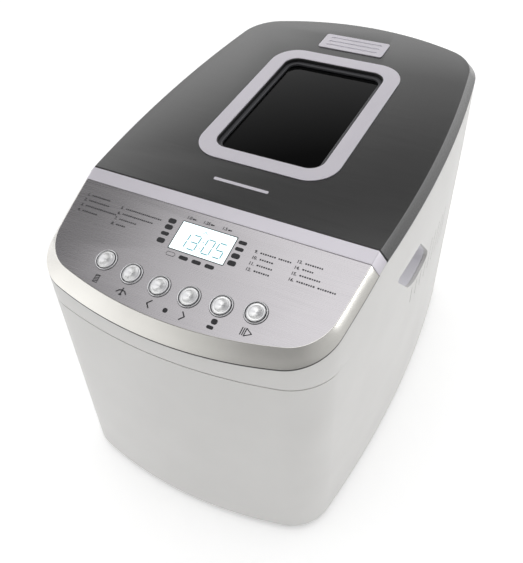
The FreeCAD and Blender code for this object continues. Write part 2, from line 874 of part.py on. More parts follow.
def build_pan():
    """Bread pan: deep tapered box with a turned-out rim and two ears for its handle."""
    body = new_body("bread_pan")
    widen = "(pan_rim - pan_floor) * tan(pan_taper)"
    outer = [pan_section(body, "pan_floor", "0", "0"), pan_section(body, "pan_rim", widen, "0")]
    loft(body, "PartDesign::AdditiveLoft", outer)
    inner = [
        pan_section(body, "pan_floor + pan_wall", "0", "-pan_wall"),
        pan_section(body, "pan_rim", widen, "-pan_wall"),
    ]
    loft(body, "PartDesign::SubtractiveLoft", inner)
    rim = pan_section(body, "pan_rim", widen, "rim_width")
    pan_outline(rim, widen, "-pan_wall")
    pad(body, rim, "1.6")
    ears = new_sketch(body, "XY_Plane", "bail_height - 7")
    reach = "pan_half_y + (bail_height - 7 - pan_floor) * tan(pan_taper)"
    rectangle(ears, "-7", "7", f"chamber_y - ({reach}) - 6", f"chamber_y - ({reach}) + 0.8")
    rectangle(ears, "-7", "7", f"chamber_y + {reach} - 0.8", f"chamber_y + {reach} + 6")
    pad(body, ears, "14")
    pivots = new_sketch(body, "XZ_Plane")
    circle(pivots, "0", "bail_height", "bail_radius + 0.2")
    pocket(body, pivots, both=True)
    spindle_holes = new_sketch(body, "XY_Plane", "pan_floor")
    circle(spindle_holes, "0", "0", "6.05")
    circle(spindle_holes, "0", "shaft_spacing", "6.05")
    pocket(body, spindle_holes, "4")
    return keep(body, "bread_pan")


def build_pan_base():
    """Skirt ring under the pan that drops into the socket on the chamber floor."""
    body = new_body("pan_base")
    ring = new_sketch(body, "XY_Plane", "chamber_floor + sheet + 1.4")
    rounded_rectangle(ring, "-50", "50", "-28", "128", "14")
    rounded_rectangle(ring, "-48", "48", "-26", "126", "12")
    pad(body, ring, "pan_floor - chamber_floor - sheet - 1.4")
    return keep(body, "pan_base")


def build_pan_socket():
    """Rail on the chamber floor that locates the pan, with two spring clips that grip its skirt."""
    body = new_body("socket_rail")
    ring = new_sketch(body, "XY_Plane", "chamber_floor + sheet")
    rounded_rectangle(ring, "-55", "55", "-33", "133", "19")
    rounded_rectangle(ring, "-51", "51", "-29", "129", "15")
    pad(body, ring, "7")
    clips = [body]
    for index, sign in enumerate((1, -1)):
        near, far = f"{sign} * 52.2 - 0.6", f"{sign} * 52.2 + 0.6"
        strip = block(f"clip_strip_{index}", near, far, "35", "65", "78.4", "89")
        near, far = f"{sign} * 54 - 2.4", f"{sign} * 54 + 2.4"
        foot = block(f"clip_foot_{index}", near, far, "35", "65", "78.4", "79.6")
        clips.append(fuse(f"clip_{index}", [strip, foot]))
    return keep(group("socket_and_clips", clips), "pan_socket")


def build_bail():
    """Folding wire handle of the pan, lying down beside the rim."""
    z = size("bail_height")
    widen = (z - size("pan_floor")) * math.tan(math.radians(size("pan_taper")))
    near = size("chamber_y") - size("pan_half_y") - widen
    far = size("chamber_y") + size("pan_half_y") + widen
    side = 76.0
    points = [
        Vector(0, near - 1.0, z),
        Vector(0, near - 9.5, z),
        Vector(side, near - 9.5, z),
        Vector(side, far + 9.5, z),
        Vector(0, far + 9.5, z),
        Vector(0, far + 1.0, z),
    ]
    path = rounded_path(points, [0, 2.6, 14, 14, 2.6, 0])
    wire = pipe(path, points[0], Y_AXIS, size("bail_radius"))
    return keep(free_form("pan_handle", wire), "pan_handle")


# ---------------------------------------------------------------- drive train


def build_drive(label, centre_y, angle, big):
    """One upright drive: shaft, dog, pan spindle, paddle and pulleys, which all turn together."""
    shaft = turned(
        f"{label}_shaft",
        [("0", "9.5"), ("shaft_radius", "9.5"), ("shaft_radius", "76"), ("0", "76")],
        "0",
        centre_y,
    )
    dog = [shaft, rod(f"{label}_dog_disc", "12", "2.8", "0", centre_y, "73.2")]
    for index, sign in enumerate((1, -1)):
        dog.append(rod(f"{label}_peg_{index}", "2.2", "9", f"{sign} * 8", centre_y, "73.4"))
    keep(fuse(f"{label}_driver", dog), f"{label}_drive_shaft")
    spindle_rod = rod(f"{label}_spindle_rod", "shaft_radius", "38", "0", centre_y, "78.4")
    wing = block(f"{label}_wing", "-2", "2", f"{centre_y} - 10", f"{centre_y} + 10", "78.4", "83.4")
    keep(fuse(f"{label}_spindle", [spindle_rod, wing]), f"{label}_spindle")
    keep(build_paddle(f"{label}_paddle", centre_y, angle), f"{label}_paddle")
    timing = build_pulley(f"{label}_timing", "timing_pulley", "timing_belt_height", centre_y)
    if big:
        wheel = build_pulley(f"{label}_main", "main_pulley", "main_belt_height", centre_y)
        spacer = rod(f"{label}_spacer", "16", "6", "0", centre_y, "main_belt_height + belt_width + 1")
        solid = fuse(f"{label}_wheels", [timing, wheel, spacer])
        bore = rod(f"{label}_wheel_bore", "shaft_radius + 0.01", "40", "0", centre_y, "main_belt_height - 6")
        keep(cut(f"{label}_double_pulley", solid, bore), "main_pulley")
    else:
        keep(timing, f"{label}_pulley")


def build_pulley(name, radius, height, centre_y, centre_x="0", bore="shaft_radius + 0.01"):
    """Flanged pulley with a hub, a thinner web and a flat belt track."""
    profile = [
        (bore, f"{height} - 2"),
        (f"{radius} + 2.6", f"{height} - 2"),
        (f"{radius} + 2.6", f"{height} - 0.8"),
        (radius, f"{height} - 0.4"),
        (radius, f"{height} + belt_width + 0.4"),
        (f"{radius} + 2.6", f"{height} + belt_width + 0.8"),
        (f"{radius} + 2.6", f"{height} + belt_width + 2"),
        (bore, f"{height} + belt_width + 2"),
    ]
    return turned(name, profile, centre_x, centre_y)


def build_paddle(name, centre_y, angle):
    """Kneading paddle: a hub on the spindle with one broad leaning blade."""
    body = new_body(name)
    low = "pan_floor + pan_wall + 1.4"
    hub = new_sketch(body, "XY_Plane", low)
    circle(hub, "0", "0", "8")
    pad(body, hub, "22")
    blade = new_sketch(body, "XY_Plane", low)
    polygon(
        blade,
        [("0", "-6"), ("paddle_reach", "-2.2"), ("paddle_reach", "1.4"), ("8", "4.5"), ("0", "6")],
    )
    pad(body, blade, "17")
    bore = new_sketch(body, "XY_Plane", low)
    circle(bore, "0", "0", "shaft_radius + 0.01")
    pocket(body, bore, both=True)
    body.Placement = Placement(Vector(), Rotation(Z_AXIS, angle))
    body.setExpression("Placement.Base.y", linked(centre_y))
    return body


def build_bushes():
    """Plain bronze bushes: two in the base plate, two in the drive frame, two in the pan."""
    drive, pan = [], []
    floor = "(foot_height + base_thickness)"
    for index, y in enumerate(("0", "shaft_spacing")):
        low = [
            ("bore_radius", f"{floor} + 0.1"),
            ("bush_radius", f"{floor} + 0.1"),
            ("bush_radius", "18"),
            ("bore_radius", "18"),
        ]
        drive.append(turned(f"lower_bush_{index}", low, "0", y))
        shoulder = "frame_height + frame_thickness"
        high = [
            ("bore_radius", "51"),
            ("bush_radius", "51"),
            ("bush_radius", shoulder),
            ("bush_radius + 3", shoulder),
            ("bush_radius + 3", f"{shoulder} + 2"),
            ("bush_radius", f"{shoulder} + 2"),
            ("bush_radius", "69"),
            ("bore_radius", "69"),
        ]
        drive.append(turned(f"upper_bush_{index}", high, "0", y))
        seal = [
            ("bore_radius", "86"),
            ("9", "86"),
            ("9", "pan_floor"),
            ("6", "pan_floor"),
            ("6", "pan_floor + pan_wall + 1"),
            ("bore_radius", "pan_floor + pan_wall + 1"),
        ]
        pan.append(turned(f"pan_bush_{index}", seal, "0", y))
    keep(group("drive_bushes", drive), "drive_bushes")
    keep(group("pan_bushes", pan), "pan_bushes")


def build_drive_frame():
    """Steel plate on four posts that carries the upper bushes."""
    body = new_body("drive_frame")
    plate = new_sketch(body, "XY_Plane", "frame_height")
    rounded_rectangle(plate, "-70", "70", "-30", "shaft_spacing + 35", "10")
    circle(plate, "0", "0", "bush_radius + 0.02")
    circle(plate, "0", "shaft_spacing", "bush_radius + 0.02")
    pad(body, plate, "frame_thickness")
    keep(body, "drive_frame")
    posts = []
    for index, (x, y) in enumerate([("62", "5"), ("-62", "5"), ("62", "115"), ("-62", "115")]):
        floor = "(foot_height + base_thickness)"
        posts.append(rod(f"post_{index}", "5", f"frame_height - {floor}", x, y, floor))
    return posts


def belt_shape(first, first_radius, second, second_radius, low):
    """Return a flat belt round two pulleys, with straight tangent strands."""
    loops = []
    for extra in (size("belt_gap"), size("belt_gap") + size("belt_thickness")):
        ra, rb = first_radius + extra, second_radius + extra
        apart = math.dist(first, second)
        heading = math.atan2(second[1] - first[1], second[0] - first[0])
        lean = math.acos((ra - rb) / apart)
        upper, lower = heading + lean, heading - lean
        a_up = Vector(first[0] + ra * math.cos(upper), first[1] + ra * math.sin(upper), low)
        a_low = Vector(first[0] + ra * math.cos(lower), first[1] + ra * math.sin(lower), low)
        b_up = Vector(second[0] + rb * math.cos(upper), second[1] + rb * math.sin(upper), low)
        b_low = Vector(second[0] + rb * math.cos(lower), second[1] + rb * math.sin(lower), low)
        a_far = Vector(first[0] - ra * math.cos(heading), first[1] - ra * math.sin(heading), low)
        b_far = Vector(second[0] + rb * math.cos(heading), second[1] + rb * math.sin(heading), low)
        edges = [
            Part.Arc(a_up, a_far, a_low).toShape(),
            Part.LineSegment(a_low, b_low).toShape(),
            Part.Arc(b_low, b_far, b_up).toShape(),
            Part.LineSegment(b_up, a_up).toShape(),
        ]
        loops.append(Part.Face(Part.Wire(edges)).extrude(Vector(0, 0, size("belt_width"))))
    return loops[1].cut(loops[0])


def build_belts():
    """Main belt from the motor and timing belt between the two drives."""
    front, rear = drive_centres()
    motor = (size("motor_x"), size("motor_y"))
    main = belt_shape(front, size("main_pulley"), motor, size("motor_pulley"), size("main_belt_height"))
    keep(free_form("main_belt", main), "main_belt")
    wheel = size("timing_pulley")
    timing = belt_shape(front, wheel, rear, wheel, size("timing_belt_height"))
    keep(free_form("timing_belt", timing), "timing_belt")


def build_motor():
    """Induction motor on its bracket, with the shaft and the small pulley."""
    can = [
        ("bore_radius", "motor_foot - 3"),
        ("12", "motor_foot - 3"),
        ("12", "motor_foot"),
        ("motor_radius - 6", "motor_foot"),
        ("motor_radius - 4", "motor_foot + 9"),
        ("motor_radius", "motor_foot + 9"),
        ("motor_radius", "motor_top - 9"),
        ("motor_radius - 4", "motor_top - 9"),
        ("motor_radius - 6", "motor_top"),
        ("bore_radius", "motor_top"),
    ]
    keep(turned("motor_can", can, "motor_x", "motor_y"), "motor_body")
    foot, top = "22", "motor_top + 3"
    spindle = [("0", foot), ("shaft_radius", foot), ("shaft_radius", top), ("0", top)]
    keep(turned("motor_spindle", spindle, "motor_x", "motor_y"), "motor_shaft")
    small = build_pulley("motor_small", "motor_pulley", "main_belt_height", "motor_y", "motor_x")
    keep(small, "motor_pulley")
    bracket = new_body("motor_bracket")
    plate = new_sketch(bracket, "XY_Plane", "motor_foot - 2.8")
    rounded_rectangle(plate, "2", "98", "-158", "-80", "8")
    circle(plate, "motor_x", "motor_y", "12.1")
    pad(bracket, plate, "2.6")
    keep(bracket, "motor_bracket")
    posts = []
    for index, (x, y) in enumerate([("9", "-95"), ("13", "-150"), ("91", "-150"), ("91", "-88")]):
        floor = "(foot_height + base_thickness)"
        posts.append(rod(f"motor_post_{index}", "4", f"motor_foot - 2.8 - {floor}", x, y, floor))
    return posts


# ---------------------------------------------------------------- electronics


def build_electronics():
    """Power board with its transformer and motor capacitor. Return the standoffs under it."""
    board = new_body("power_board")
    outline = new_sketch(board, "XY_Plane", "14")
    rectangle(outline, "-106", "-28", "-160", "-92")
    pad(board, outline, "1.6")
    keep(board, "power_board")
    standoffs = []
    for index, (x, y) in enumerate([("-102", "-156"), ("-32", "-156"), ("-102", "-96"), ("-32", "-96")]):
        floor = "(foot_height + base_thickness)"
        standoffs.append(rod(f"standoff_{index}", "3", f"14 - {floor}", x, y, floor))
    core = block("transformer_core", "-100", "-68", "-152", "-124", "15.6", "38")
    bobbin = block("transformer_bobbin", "-94", "-74", "-156", "-120", "18", "35")
    transformer = fuse("transformer", [core, bobbin])
    capacitor = rod("run_capacitor", "11", "34", "-48", "-114", "15.6")
    keep(group("board_components", [transformer, capacitor]), "power_components")
    return standoffs


# ---------------------------------------------------------------- control panel


def button_centres():
    """Return the six button places, as expressions in the panel's own plane."""
    places = []
    for index in range(6):
        across = f"button_pitch * {index - 2.5}"
        places.append((across, f"button_row + button_sag * ({across}) * ({across})"))
    return places


def build_fascia():
    """Brushed steel control fascia with sloping edges, button holes and display opening."""
    slope = size("panel_slope")
    back = size("fascia_back_y")
    outer = capped_form(slope, IN_FRONT, back, size("fascia_gap"))
    thin = size("lid_sheet")
    inner = capped_form(slope, IN_FRONT, back - thin, size("fascia_gap"), thickness=thin, start=-4.0)
    skin = outer.cut(inner)
    tools = []
    for across, along in button_centres():
        centre = Vector(number(across), number(along), -THROUGH)
        tools.append(Part.makeCylinder(size("button_hole"), 2 * THROUGH, centre))
    play = 0.2
    half = size("display_half_x") + play
    tall = size("display_back") - size("display_front") + 2 * play
    corner = Vector(-half, size("display_front") - play, -THROUGH)
    tools.append(Part.makeBox(2 * half, tall, 2 * THROUGH, corner))
    cutter = Part.makeCompound(tools)
    cutter.Placement = panel_placement()
    return keep(free_form("control_fascia", skin.cut(cutter)), "control_fascia")


def panel_placement():
    """Return the placement of the panel's own plane."""
    angle = math.degrees(math.atan(size("panel_slope")))
    origin = Vector(0, size("crease_y"), size("crease_height") + size("cap_height"))
    return Placement(origin, Rotation(X_AXIS, angle))


def build_panel_carrier():
    """Plastic plate behind the fascia that guides the buttons and frames the display."""
    body = new_body("panel_carrier")
    plate = new_sketch(body, "XY_Plane", "-4.6")
    rounded_rectangle(plate, "-95", "95", "-88", "-15", "18")
    for across, along in button_centres():
        circle(plate, across, along, "8.8")
    half = "display_half_x + 3.2"
    rectangle(plate, f"-({half})", half, "display_front - 3.2", "display_back + 3.2")
    pad(body, plate, "3.1")
    return keep(tilt(body, "panel_slope"), "panel_carrier")


def build_display():
    """Clear display window flush in the fascia and the display module behind it."""
    window = new_body("display_window")
    face = new_sketch(window, "XY_Plane", "-1.1")
    rectangle(face, "-display_half_x", "display_half_x", "display_front", "display_back")
    pad(window, face, "1.2")
    keep(tilt(window, "panel_slope"), "display_window")
    module = new_body("display_module")
    frame = new_sketch(module, "XY_Plane", "-8.6")
    half = "display_half_x + 2.6"
    rectangle(frame, f"-({half})", half, "display_front - 2.6", "display_back + 2.6")
    pad(module, frame, "7")
    keep(tilt(module, "panel_slope"), "display_module")


def build_control_board():
    """Control board with one push switch under each button."""
    board = new_body("control_board")
    outline = new_sketch(board, "XY_Plane", "-14.2")
    rectangle(outline, "-78", "78", "-87", "-17")
    pad(board, outline, "1.6")
    keep(tilt(board, "panel_slope"), "control_board")
    switches = []
    for index, (across, along) in enumerate(button_centres()):
        left, right = f"{across} - 3", f"{across} + 3"
        low, high = f"{along} - 3", f"{along} + 3"
        case = block(f"switch_case_{index}", left, right, low, high, "-12.6", "-9.4")
        plunger = rod(f"switch_plunger_{index}", "1.7", "1.2", across, along, "-9.6")
        switches.append(fuse(f"switch_{index}", [case, plunger]))
    keep(tilt(group("push_switches", switches), "panel_slope"), "push_switches")


def build_buttons():
    """Six round push buttons, each with a flange, a stem and a dished face, and their fixed rings."""
    rings = []
    for index, (across, along) in enumerate(button_centres(), start=1):
        body = new_body(f"button_{index}")
        sketch = new_sketch(body, "XZ_Plane")
        polygon(
            sketch,
            [
                ("0", "-7.3"),
                ("2.2", "-7.3"),
                ("2.2", "-3.2"),
                ("8.2", "-3.2"),
                ("8.2", "-1.7"),
                ("button_cap", "-1.7"),
                ("button_cap", "0.9"),
                ("button_cap - 0.6", "1.4"),
                ("0", "1.1"),
            ],
        )
        cap = body.newObject("PartDesign::Revolution", f"button_{index}_revolution")
        cap.Profile = sketch
        cap.ReferenceAxis = (sketch, ["V_Axis"])
        cap.Angle = 360.0
        doc.recompute()
        place_on_panel(body, across, along)
        keep(body, f"button_{index}")
        outer = rod(f"ring_outer_{index}", "ring_outer", "2.3", across, along, "-1.2")
        inner = rod(f"ring_inner_{index}", "ring_inner", "6", across, along, "-3")
        rings.append(cut(f"ring_{index}", outer, inner))
    keep(tilt(group("button_rings", rings), "panel_slope"), "button_rings")


def place_on_panel(item, across, along):
    """Stand a piece at a point of the panel's own plane."""
    item.Placement = Placement(Vector(0, -1, 1), Rotation(X_AXIS, 10))
    item.setExpression("Placement.Rotation.Angle", f"atan({linked('panel_slope')})")
    item.setExpression("Placement.Base.x", linked(across))
    item.setExpression("Placement.Base.y", linked(f"crease_y + ({along}) * cos(atan(panel_slope))"))
    rise = f"crease_height + cap_height + ({along}) * sin(atan(panel_slope))"
    item.setExpression("Placement.Base.z", linked(rise))


# ---------------------------------------------------------------- lid


def lid_placement():
    """Return the placement of the lid's own plane."""
    angle = math.degrees(math.atan(size("lid_slope")))
    origin = Vector(0, size("crease_y"), size("crease_height") + size("cap_height"))
    return Placement(origin, Rotation(X_AXIS, angle))


def window_column(inset, front_inset=None):
    """Return the window frame's outline as a column through the lid, moved inwards."""
    near = inset if front_inset is None else front_inset
    return rounded_column(
        size("window_half_x") - inset,
        size("window_front") + near,
        size("window_back") - inset,
        size("window_corner") - inset,
        -2 * THROUGH,
        2 * THROUGH,
    )


def rounded_column(half_x, front, back, corner, low, high):
    """Return a rounded rectangle as a column in the lid's own plane."""
    box = Part.makeBox(2 * half_x, back - front, high - low, Vector(-half_x, front, low))
    uprights = [edge for edge in box.Edges if abs(edge.tangentAt(edge.FirstParameter).z) > 0.9]
    return box.makeFillet(corner, uprights)


def build_lid_skin():
    """Brushed steel lid skin: sloping sides, window opening and vent opening."""
    slope = size("lid_slope")
    front = size("lid_front_y")
    thin = size("lid_sheet")
    outer = capped_form(slope, front, BEHIND, size("lid_gap"))
    inner = capped_form(slope, front + thin, BEHIND, size("lid_gap"), thickness=thin, start=-4.0)
    window = window_column(4)
    overlap = 2.0
    middle, half_y = size("vent_middle"), size("vent_half_y") - overlap
    half_x, corner = size("vent_half_x") - overlap, 1.5
    vent = rounded_column(half_x, middle - half_y, middle + half_y, corner, -THROUGH, THROUGH)
    openings = Part.makeCompound([window, vent])
    openings.Placement = lid_placement()
    return keep(free_form("lid_skin", outer.cut(inner).cut(openings)), "lid_skin")


def build_lid_liner():
    """Plastic liner that closes the lid from below, with the window shaft and the steam slots."""
    slope = size("lid_slope")
    front = size("lid_front_y") + 3
    rise = size("lid_gap")
    inset, thick, low = 3.8, 2.2, 100
    ring = column(inset, low, REACH).common(slab_of(front, BEHIND, low))
    plate = ring.common(under_plane(slope, rise + thick)).cut(under_plane(slope, rise))
    tools = [window_column(6.5)]
    half_length, half_width = 22.0, 1.5
    for index in range(3):
        middle = size("vent_middle") + (index - 1) * size("vent_slot_pitch")
        start = Vector(-half_length, middle - half_width, -THROUGH)
        tools.append(Part.makeBox(2 * half_length, 2 * half_width, 2 * THROUGH, start))
    cutter = Part.makeCompound(tools)
    cutter.Placement = lid_placement()
    room_half, room_front = 60.0, 182.0
    hinge_room = Part.makeBox(2 * room_half, REACH, REACH, Vector(-room_half, room_front, 0))
    return keep(free_form("lid_liner", plate.cut(cutter).cut(hinge_room)), "lid_liner")


def build_heat_plate():
    """Shallow aluminium dish under the liner that faces the loaf, open under the window."""
    slope = size("lid_slope")
    rise = size("lid_gap")
    wall, thin, deep = 9.5, 1.2, 7.0
    outer = mouth_column(wall).common(under_plane(slope, rise)).cut(under_plane(slope, rise - deep))
    hollow = mouth_column(wall + thin).common(under_plane(slope, rise + 2))
    hollow = hollow.cut(under_plane(slope, rise - deep + thin))
    opening = window_column(8, front_inset=10)
    opening.Placement = lid_placement()
    return keep(free_form("lid_heat_plate", outer.cut(hollow).cut(opening)), "lid_heat_plate")


def build_gasket():
    """Silicone ring that seals the lid to the deck round the oven mouth."""
    slope = size("lid_slope")
    ring = mouth_column(0.4).cut(mouth_column(5.0))
    low = -size("deck_drop") + 0.3
    gasket = ring.common(under_plane(slope, size("lid_gap"))).cut(under_plane(slope, low))
    return keep(free_form("lid_gasket", gasket), "lid_gasket")


def build_bezel():
    """Silver window bezel standing a little proud of the lid, with a collar down to the glass."""
    body = new_body("window_bezel")
    face = new_sketch(body, "XY_Plane", "0")
    rounded_rectangle(face, "-window_half_x", "window_half_x", "window_front", "window_back", "window_corner")
    rounded_rectangle(
        face,
        "window_border - window_half_x",
        "window_half_x - window_border",
        "window_front + window_border",
        "window_back - window_border",
        "window_inner_corner",
    )
    top = pad(body, face, "bezel_proud")
    rim = [
        f"Edge{index}"
        for index, edge in enumerate(top.Shape.Edges, start=1)
        if edge.BoundBox.ZMin > size("bezel_proud") - 0.01
    ]
    soften = body.newObject("PartDesign::Fillet", "bezel_fillet")
    soften.Base = (top, rim)
    soften.Radius = 0.7
    doc.recompute()
    collar = new_sketch(body, "XY_Plane", "0")
    rounded_rectangle(
        collar,
        "window_border - window_half_x - 3",
        "window_half_x - window_border + 3",
        "window_front + window_border - 3",
        "window_back - window_border + 3",
        "window_inner_corner + 3",
    )
    rounded_rectangle(
        collar,
        "window_border - window_half_x",
        "window_half_x - window_border",
        "window_front + window_border",
        "window_back - window_border",
        "window_inner_corner",
    )
    sleeve = pad(body, collar, "glass_depth")
    sleeve.Reversed = True
    doc.recompute()
    return keep(tilt(body, "lid_slope"), "window_bezel")


def build_glass():
    """Two toughened panes with an air gap: one under the bezel, one on the heat plate."""
    outer = new_body("window_glass")
    face = new_sketch(outer, "XY_Plane", "-glass_depth - glass_thickness")
    rounded_rectangle(
        face,
        "window_border - window_half_x - 3",
        "window_half_x - window_border + 3",
        "window_front + window_border - 3",
        "window_back - window_border + 3",
        "window_inner_corner",
    )
    pad(outer, face, "glass_thickness")
    keep(tilt(outer, "lid_slope"), "window_glass")
    inner = new_body("inner_glass")
    face = new_sketch(inner, "XY_Plane", "-12.6")
    rounded_rectangle(
        face,
        "5 - window_half_x",
        "window_half_x - 5",
        "window_front + 7",
        "window_back - 5",
        "window_corner - 5",
    )
    pad(inner, face, "2.4")
    keep(tilt(inner, "lid_slope"), "inner_glass")


def build_vent():
    """Steam vent grille: a plate with three long slots, dropped into the lid."""
    body = new_body("steam_vent")
    face = new_sketch(body, "XY_Plane", "0.02")
    low, high = "vent_middle - vent_half_y", "vent_middle + vent_half_y"
    rounded_rectangle(face, "-vent_half_x", "vent_half_x", low, high, "2.5")
    for index in range(3):
        middle = f"vent_middle + {index - 1} * vent_slot_pitch"
        near, far = f"{middle} - 1.1", f"{middle} + 1.1"
        rounded_rectangle(face, "6.5 - vent_half_x", "vent_half_x - 6.5", near, far, "1.05")
    pad(body, face, "1.0")
    plug = new_sketch(body, "XY_Plane", "-4")
    rounded_rectangle(plug, "2.2 - vent_half_x", "vent_half_x - 2.2", f"{low} + 2.2", f"{high} - 2.2", "1.4")
    rounded_rectangle(plug, "4.6 - vent_half_x", "vent_half_x - 4.6", f"{low} + 3.6", f"{high} - 3.6", "1.2")
    pad(body, plug, "4.1")
    return keep(tilt(body, "lid_slope"), "steam_vent")


def build_hinge():
    """Two hinges at the back: brackets on the deck, arms on the lid, and their pins."""
    y, z = size("hinge_y"), size("hinge_z")
    ring, bore = size("knuckle_radius"), size("pin_radius")
    rise = size("lid_gap")
    slope = size("lid_slope")
    rests_on = under_plane(slope, 0.02 - size("deck_drop"))
    stays_under = under_plane(slope, -0.4)
    liner_top = under_plane(slope, rise + 2.22)
    skin_under = under_plane(slope, rise + 4.4)
    outer_end, middle, inner_end = 48.0, 38.0, 28.0
    play = 0.2
    long = outer_end - middle - 2 * play
    root = 168.0
    brackets, arms, pins = [], [], []
    for side in (1, -1):
        start = min(side * middle, side * outer_end) + play
        tongue = Part.makeBox(long, y - root - play, 2 * THROUGH, Vector(start, root + play, z - THROUGH))
        tongue = tongue.common(stays_under).cut(rests_on)
        bracket = Part.makeCylinder(ring, long, Vector(start, y, z), X_AXIS).fuse(tongue)
        bore_start = Vector(start - 5, y, z)
        brackets.append(bracket.cut(Part.makeCylinder(bore + SNUG, THROUGH, bore_start, X_AXIS)))
        start = min(side * inner_end, side * middle) + play
        riser = Part.makeBox(long, y - root, 2 * THROUGH, Vector(start, root, z - THROUGH))
        riser = riser.common(skin_under).cut(liner_top)
        web = Part.makeBox(long, 4.0, 20, Vector(start, y - 3.4, z + 0.4)).common(skin_under)
        arm = Part.makeCylinder(ring, long, Vector(start, y, z), X_AXIS).fuse([riser, web])
        bore_start = Vector(start - 5, y, z)
        arms.append(arm.cut(Part.makeCylinder(bore + 0.02, THROUGH, bore_start, X_AXIS)))
        half_pin = 10.5
        pins.append(Part.makeCylinder(bore, 2 * half_pin, Vector(side * middle - half_pin, y, z), X_AXIS))
    keep(free_form("hinge_brackets", Part.makeCompound(brackets)), "hinge_brackets")
    keep(free_form("hinge_arms", Part.makeCompound(arms)), "hinge_arms")
    keep(free_form("hinge_pins", Part.makeCompound(pins)), "hinge_pins")


def build_hinge_cover():
    """Curved cover on the lid that closes the hinge notch in the back of the housing."""
    drop = size("hinge_z") - size("cover_drop")
    half = size("cover_half_x")
    outside, inside, front = 0.2, 1.8, 150.0
    ring = column(outside, drop, BEHIND).cut(column(inside, drop - 1, REACH))
    strip = ring.common(Part.makeBox(2 * half, REACH, REACH, Vector(-half, front, 0)))
    strip = strip.common(under_plane(size("lid_slope"), size("lid_gap") - 0.02))
    return keep(free_form("hinge_cover", strip), "hinge_cover")


def build_gland():
    """Cord gland in the back wall: flange outside, threaded barrel, nut inside."""
    z = size("gland_height")
    share = (size("draft_top") - z) / (size("draft_top") - size("foot_height"))
    wall_y = size("half_depth") - size("draft") * share
    flange_thick, barrel_long, barrel_start = 1.6, 15.0, 13.4
    nut_radius, nut_thick = 10.5, 4.0
    flange = Part.makeCylinder(size("gland_flange"), flange_thick, Vector(0, wall_y + 0.2, z), Y_AXIS)
    start = Vector(0, wall_y - barrel_start, z)
    barrel = Part.makeCylinder(size("gland_barrel"), barrel_long, start, Y_AXIS)
    start = Vector(0, wall_y - THROUGH, z)
    gland = flange.fuse(barrel).cut(Part.makeCylinder(size("gland_bore"), 2 * THROUGH, start, Y_AXIS))
    nut = Part.makeCylinder(nut_radius, nut_thick, Vector(0, wall_y - size("wall") - 4.6, z), Y_AXIS)
    nut = nut.cut(Part.makeCylinder(size("gland_barrel") + 0.02, THROUGH, start, Y_AXIS))
    return keep(free_form("cord_gland", Part.makeCompound([gland, nut])), "cord_gland")


# ---------------------------------------------------------------- assembly

build_body_shell()
build_grip_cups()
build_base_plate()
build_feet()
build_base_screws()
build_bridge_trim()
build_deck()
build_chamber()
build_heater()
build_probe()
build_pan()
build_pan_base()
build_pan_socket()
build_bail()
build_drive("front", "0", 20, big=True)
build_drive("rear", "shaft_spacing", 200, big=False)
build_bushes()
build_belts()
keep(group("posts", build_drive_frame() + build_motor() + build_electronics()), "support_posts")
build_fascia()
build_panel_carrier()
build_display()
build_control_board()
build_buttons()
build_lid_skin()
build_lid_liner()
build_heat_plate()
build_gasket()
build_bezel()
build_glass()
build_vent()
build_hinge()
build_hinge_cover()
build_gland()

doc.recompute()
for item in doc.Objects:
    if "Invalid" in item.State or "Error" in item.State:
        raise RuntimeError(f"{item.Name} ({item.Label}) failed: {item.State}")
for item in PARTS:
    if item.Shape.isNull() or not item.Shape.isValid() or not item.Shape.Solids:
        raise RuntimeError(f"{item.Label} has no valid solid")

os.makedirs("parts", exist_ok=True)
for item in PARTS:
    item.Shape.exportStep(f"parts/{item.Label}.step")
    print(f"{item.Label:22s} {len(item.Shape.Solids)} solids {item.Shape.Volume / 1000:9.2f} cm3")
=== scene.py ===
"""Looks of a horizontal bread machine: its visible pieces and finishes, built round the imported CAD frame."""

import json
import logging
import math
from dataclasses import dataclass
from enum import Enum

import bmesh
import bpy
from bmesh.types import BMEdge, BMesh, BMVert
from bpy.types import Node, NodeSocket, NodeTree, Object
from mathutils import Matrix, Vector


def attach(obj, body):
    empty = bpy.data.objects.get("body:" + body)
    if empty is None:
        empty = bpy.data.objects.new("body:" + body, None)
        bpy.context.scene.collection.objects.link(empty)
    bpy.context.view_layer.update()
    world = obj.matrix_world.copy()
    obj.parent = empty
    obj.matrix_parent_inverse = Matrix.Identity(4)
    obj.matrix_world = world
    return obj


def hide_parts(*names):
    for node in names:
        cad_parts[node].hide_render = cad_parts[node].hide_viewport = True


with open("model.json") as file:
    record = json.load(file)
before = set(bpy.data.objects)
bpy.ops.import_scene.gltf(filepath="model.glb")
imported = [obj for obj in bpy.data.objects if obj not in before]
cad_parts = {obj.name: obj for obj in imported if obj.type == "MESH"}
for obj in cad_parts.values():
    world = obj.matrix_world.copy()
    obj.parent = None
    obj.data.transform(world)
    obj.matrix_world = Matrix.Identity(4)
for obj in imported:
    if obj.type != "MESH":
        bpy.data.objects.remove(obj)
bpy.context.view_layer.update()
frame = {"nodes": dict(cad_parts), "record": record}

logging.basicConfig(level=logging.INFO, format="%(message)s")
log = logging.getLogger("bread_machine")

Colour = tuple[float, float, float, float]
Point = tuple[float, float]

MM = 0.001
# Points nearer than this are taken as one.
MERGE_GAP = 0.001 * MM
# A cutter for an opening reaches this far on both sides of its plate.
THROUGH = 20 * MM
# Facets round a turned piece, and across a rounded edge.
TURN_STEPS = 64
EDGE_STEPS = 4
TURNING_MAP = "turning"


class Body(Enum):
    """Rigid bodies that a piece can ride on."""

    BASE = "base"
    LID = "lid"
    BUTTON_1 = "button_1"
    BUTTON_2 = "button_2"
    BUTTON_3 = "button_3"
    BUTTON_4 = "button_4"
    BUTTON_5 = "button_5"
    BUTTON_6 = "button_6"


# ---- colour and node helpers


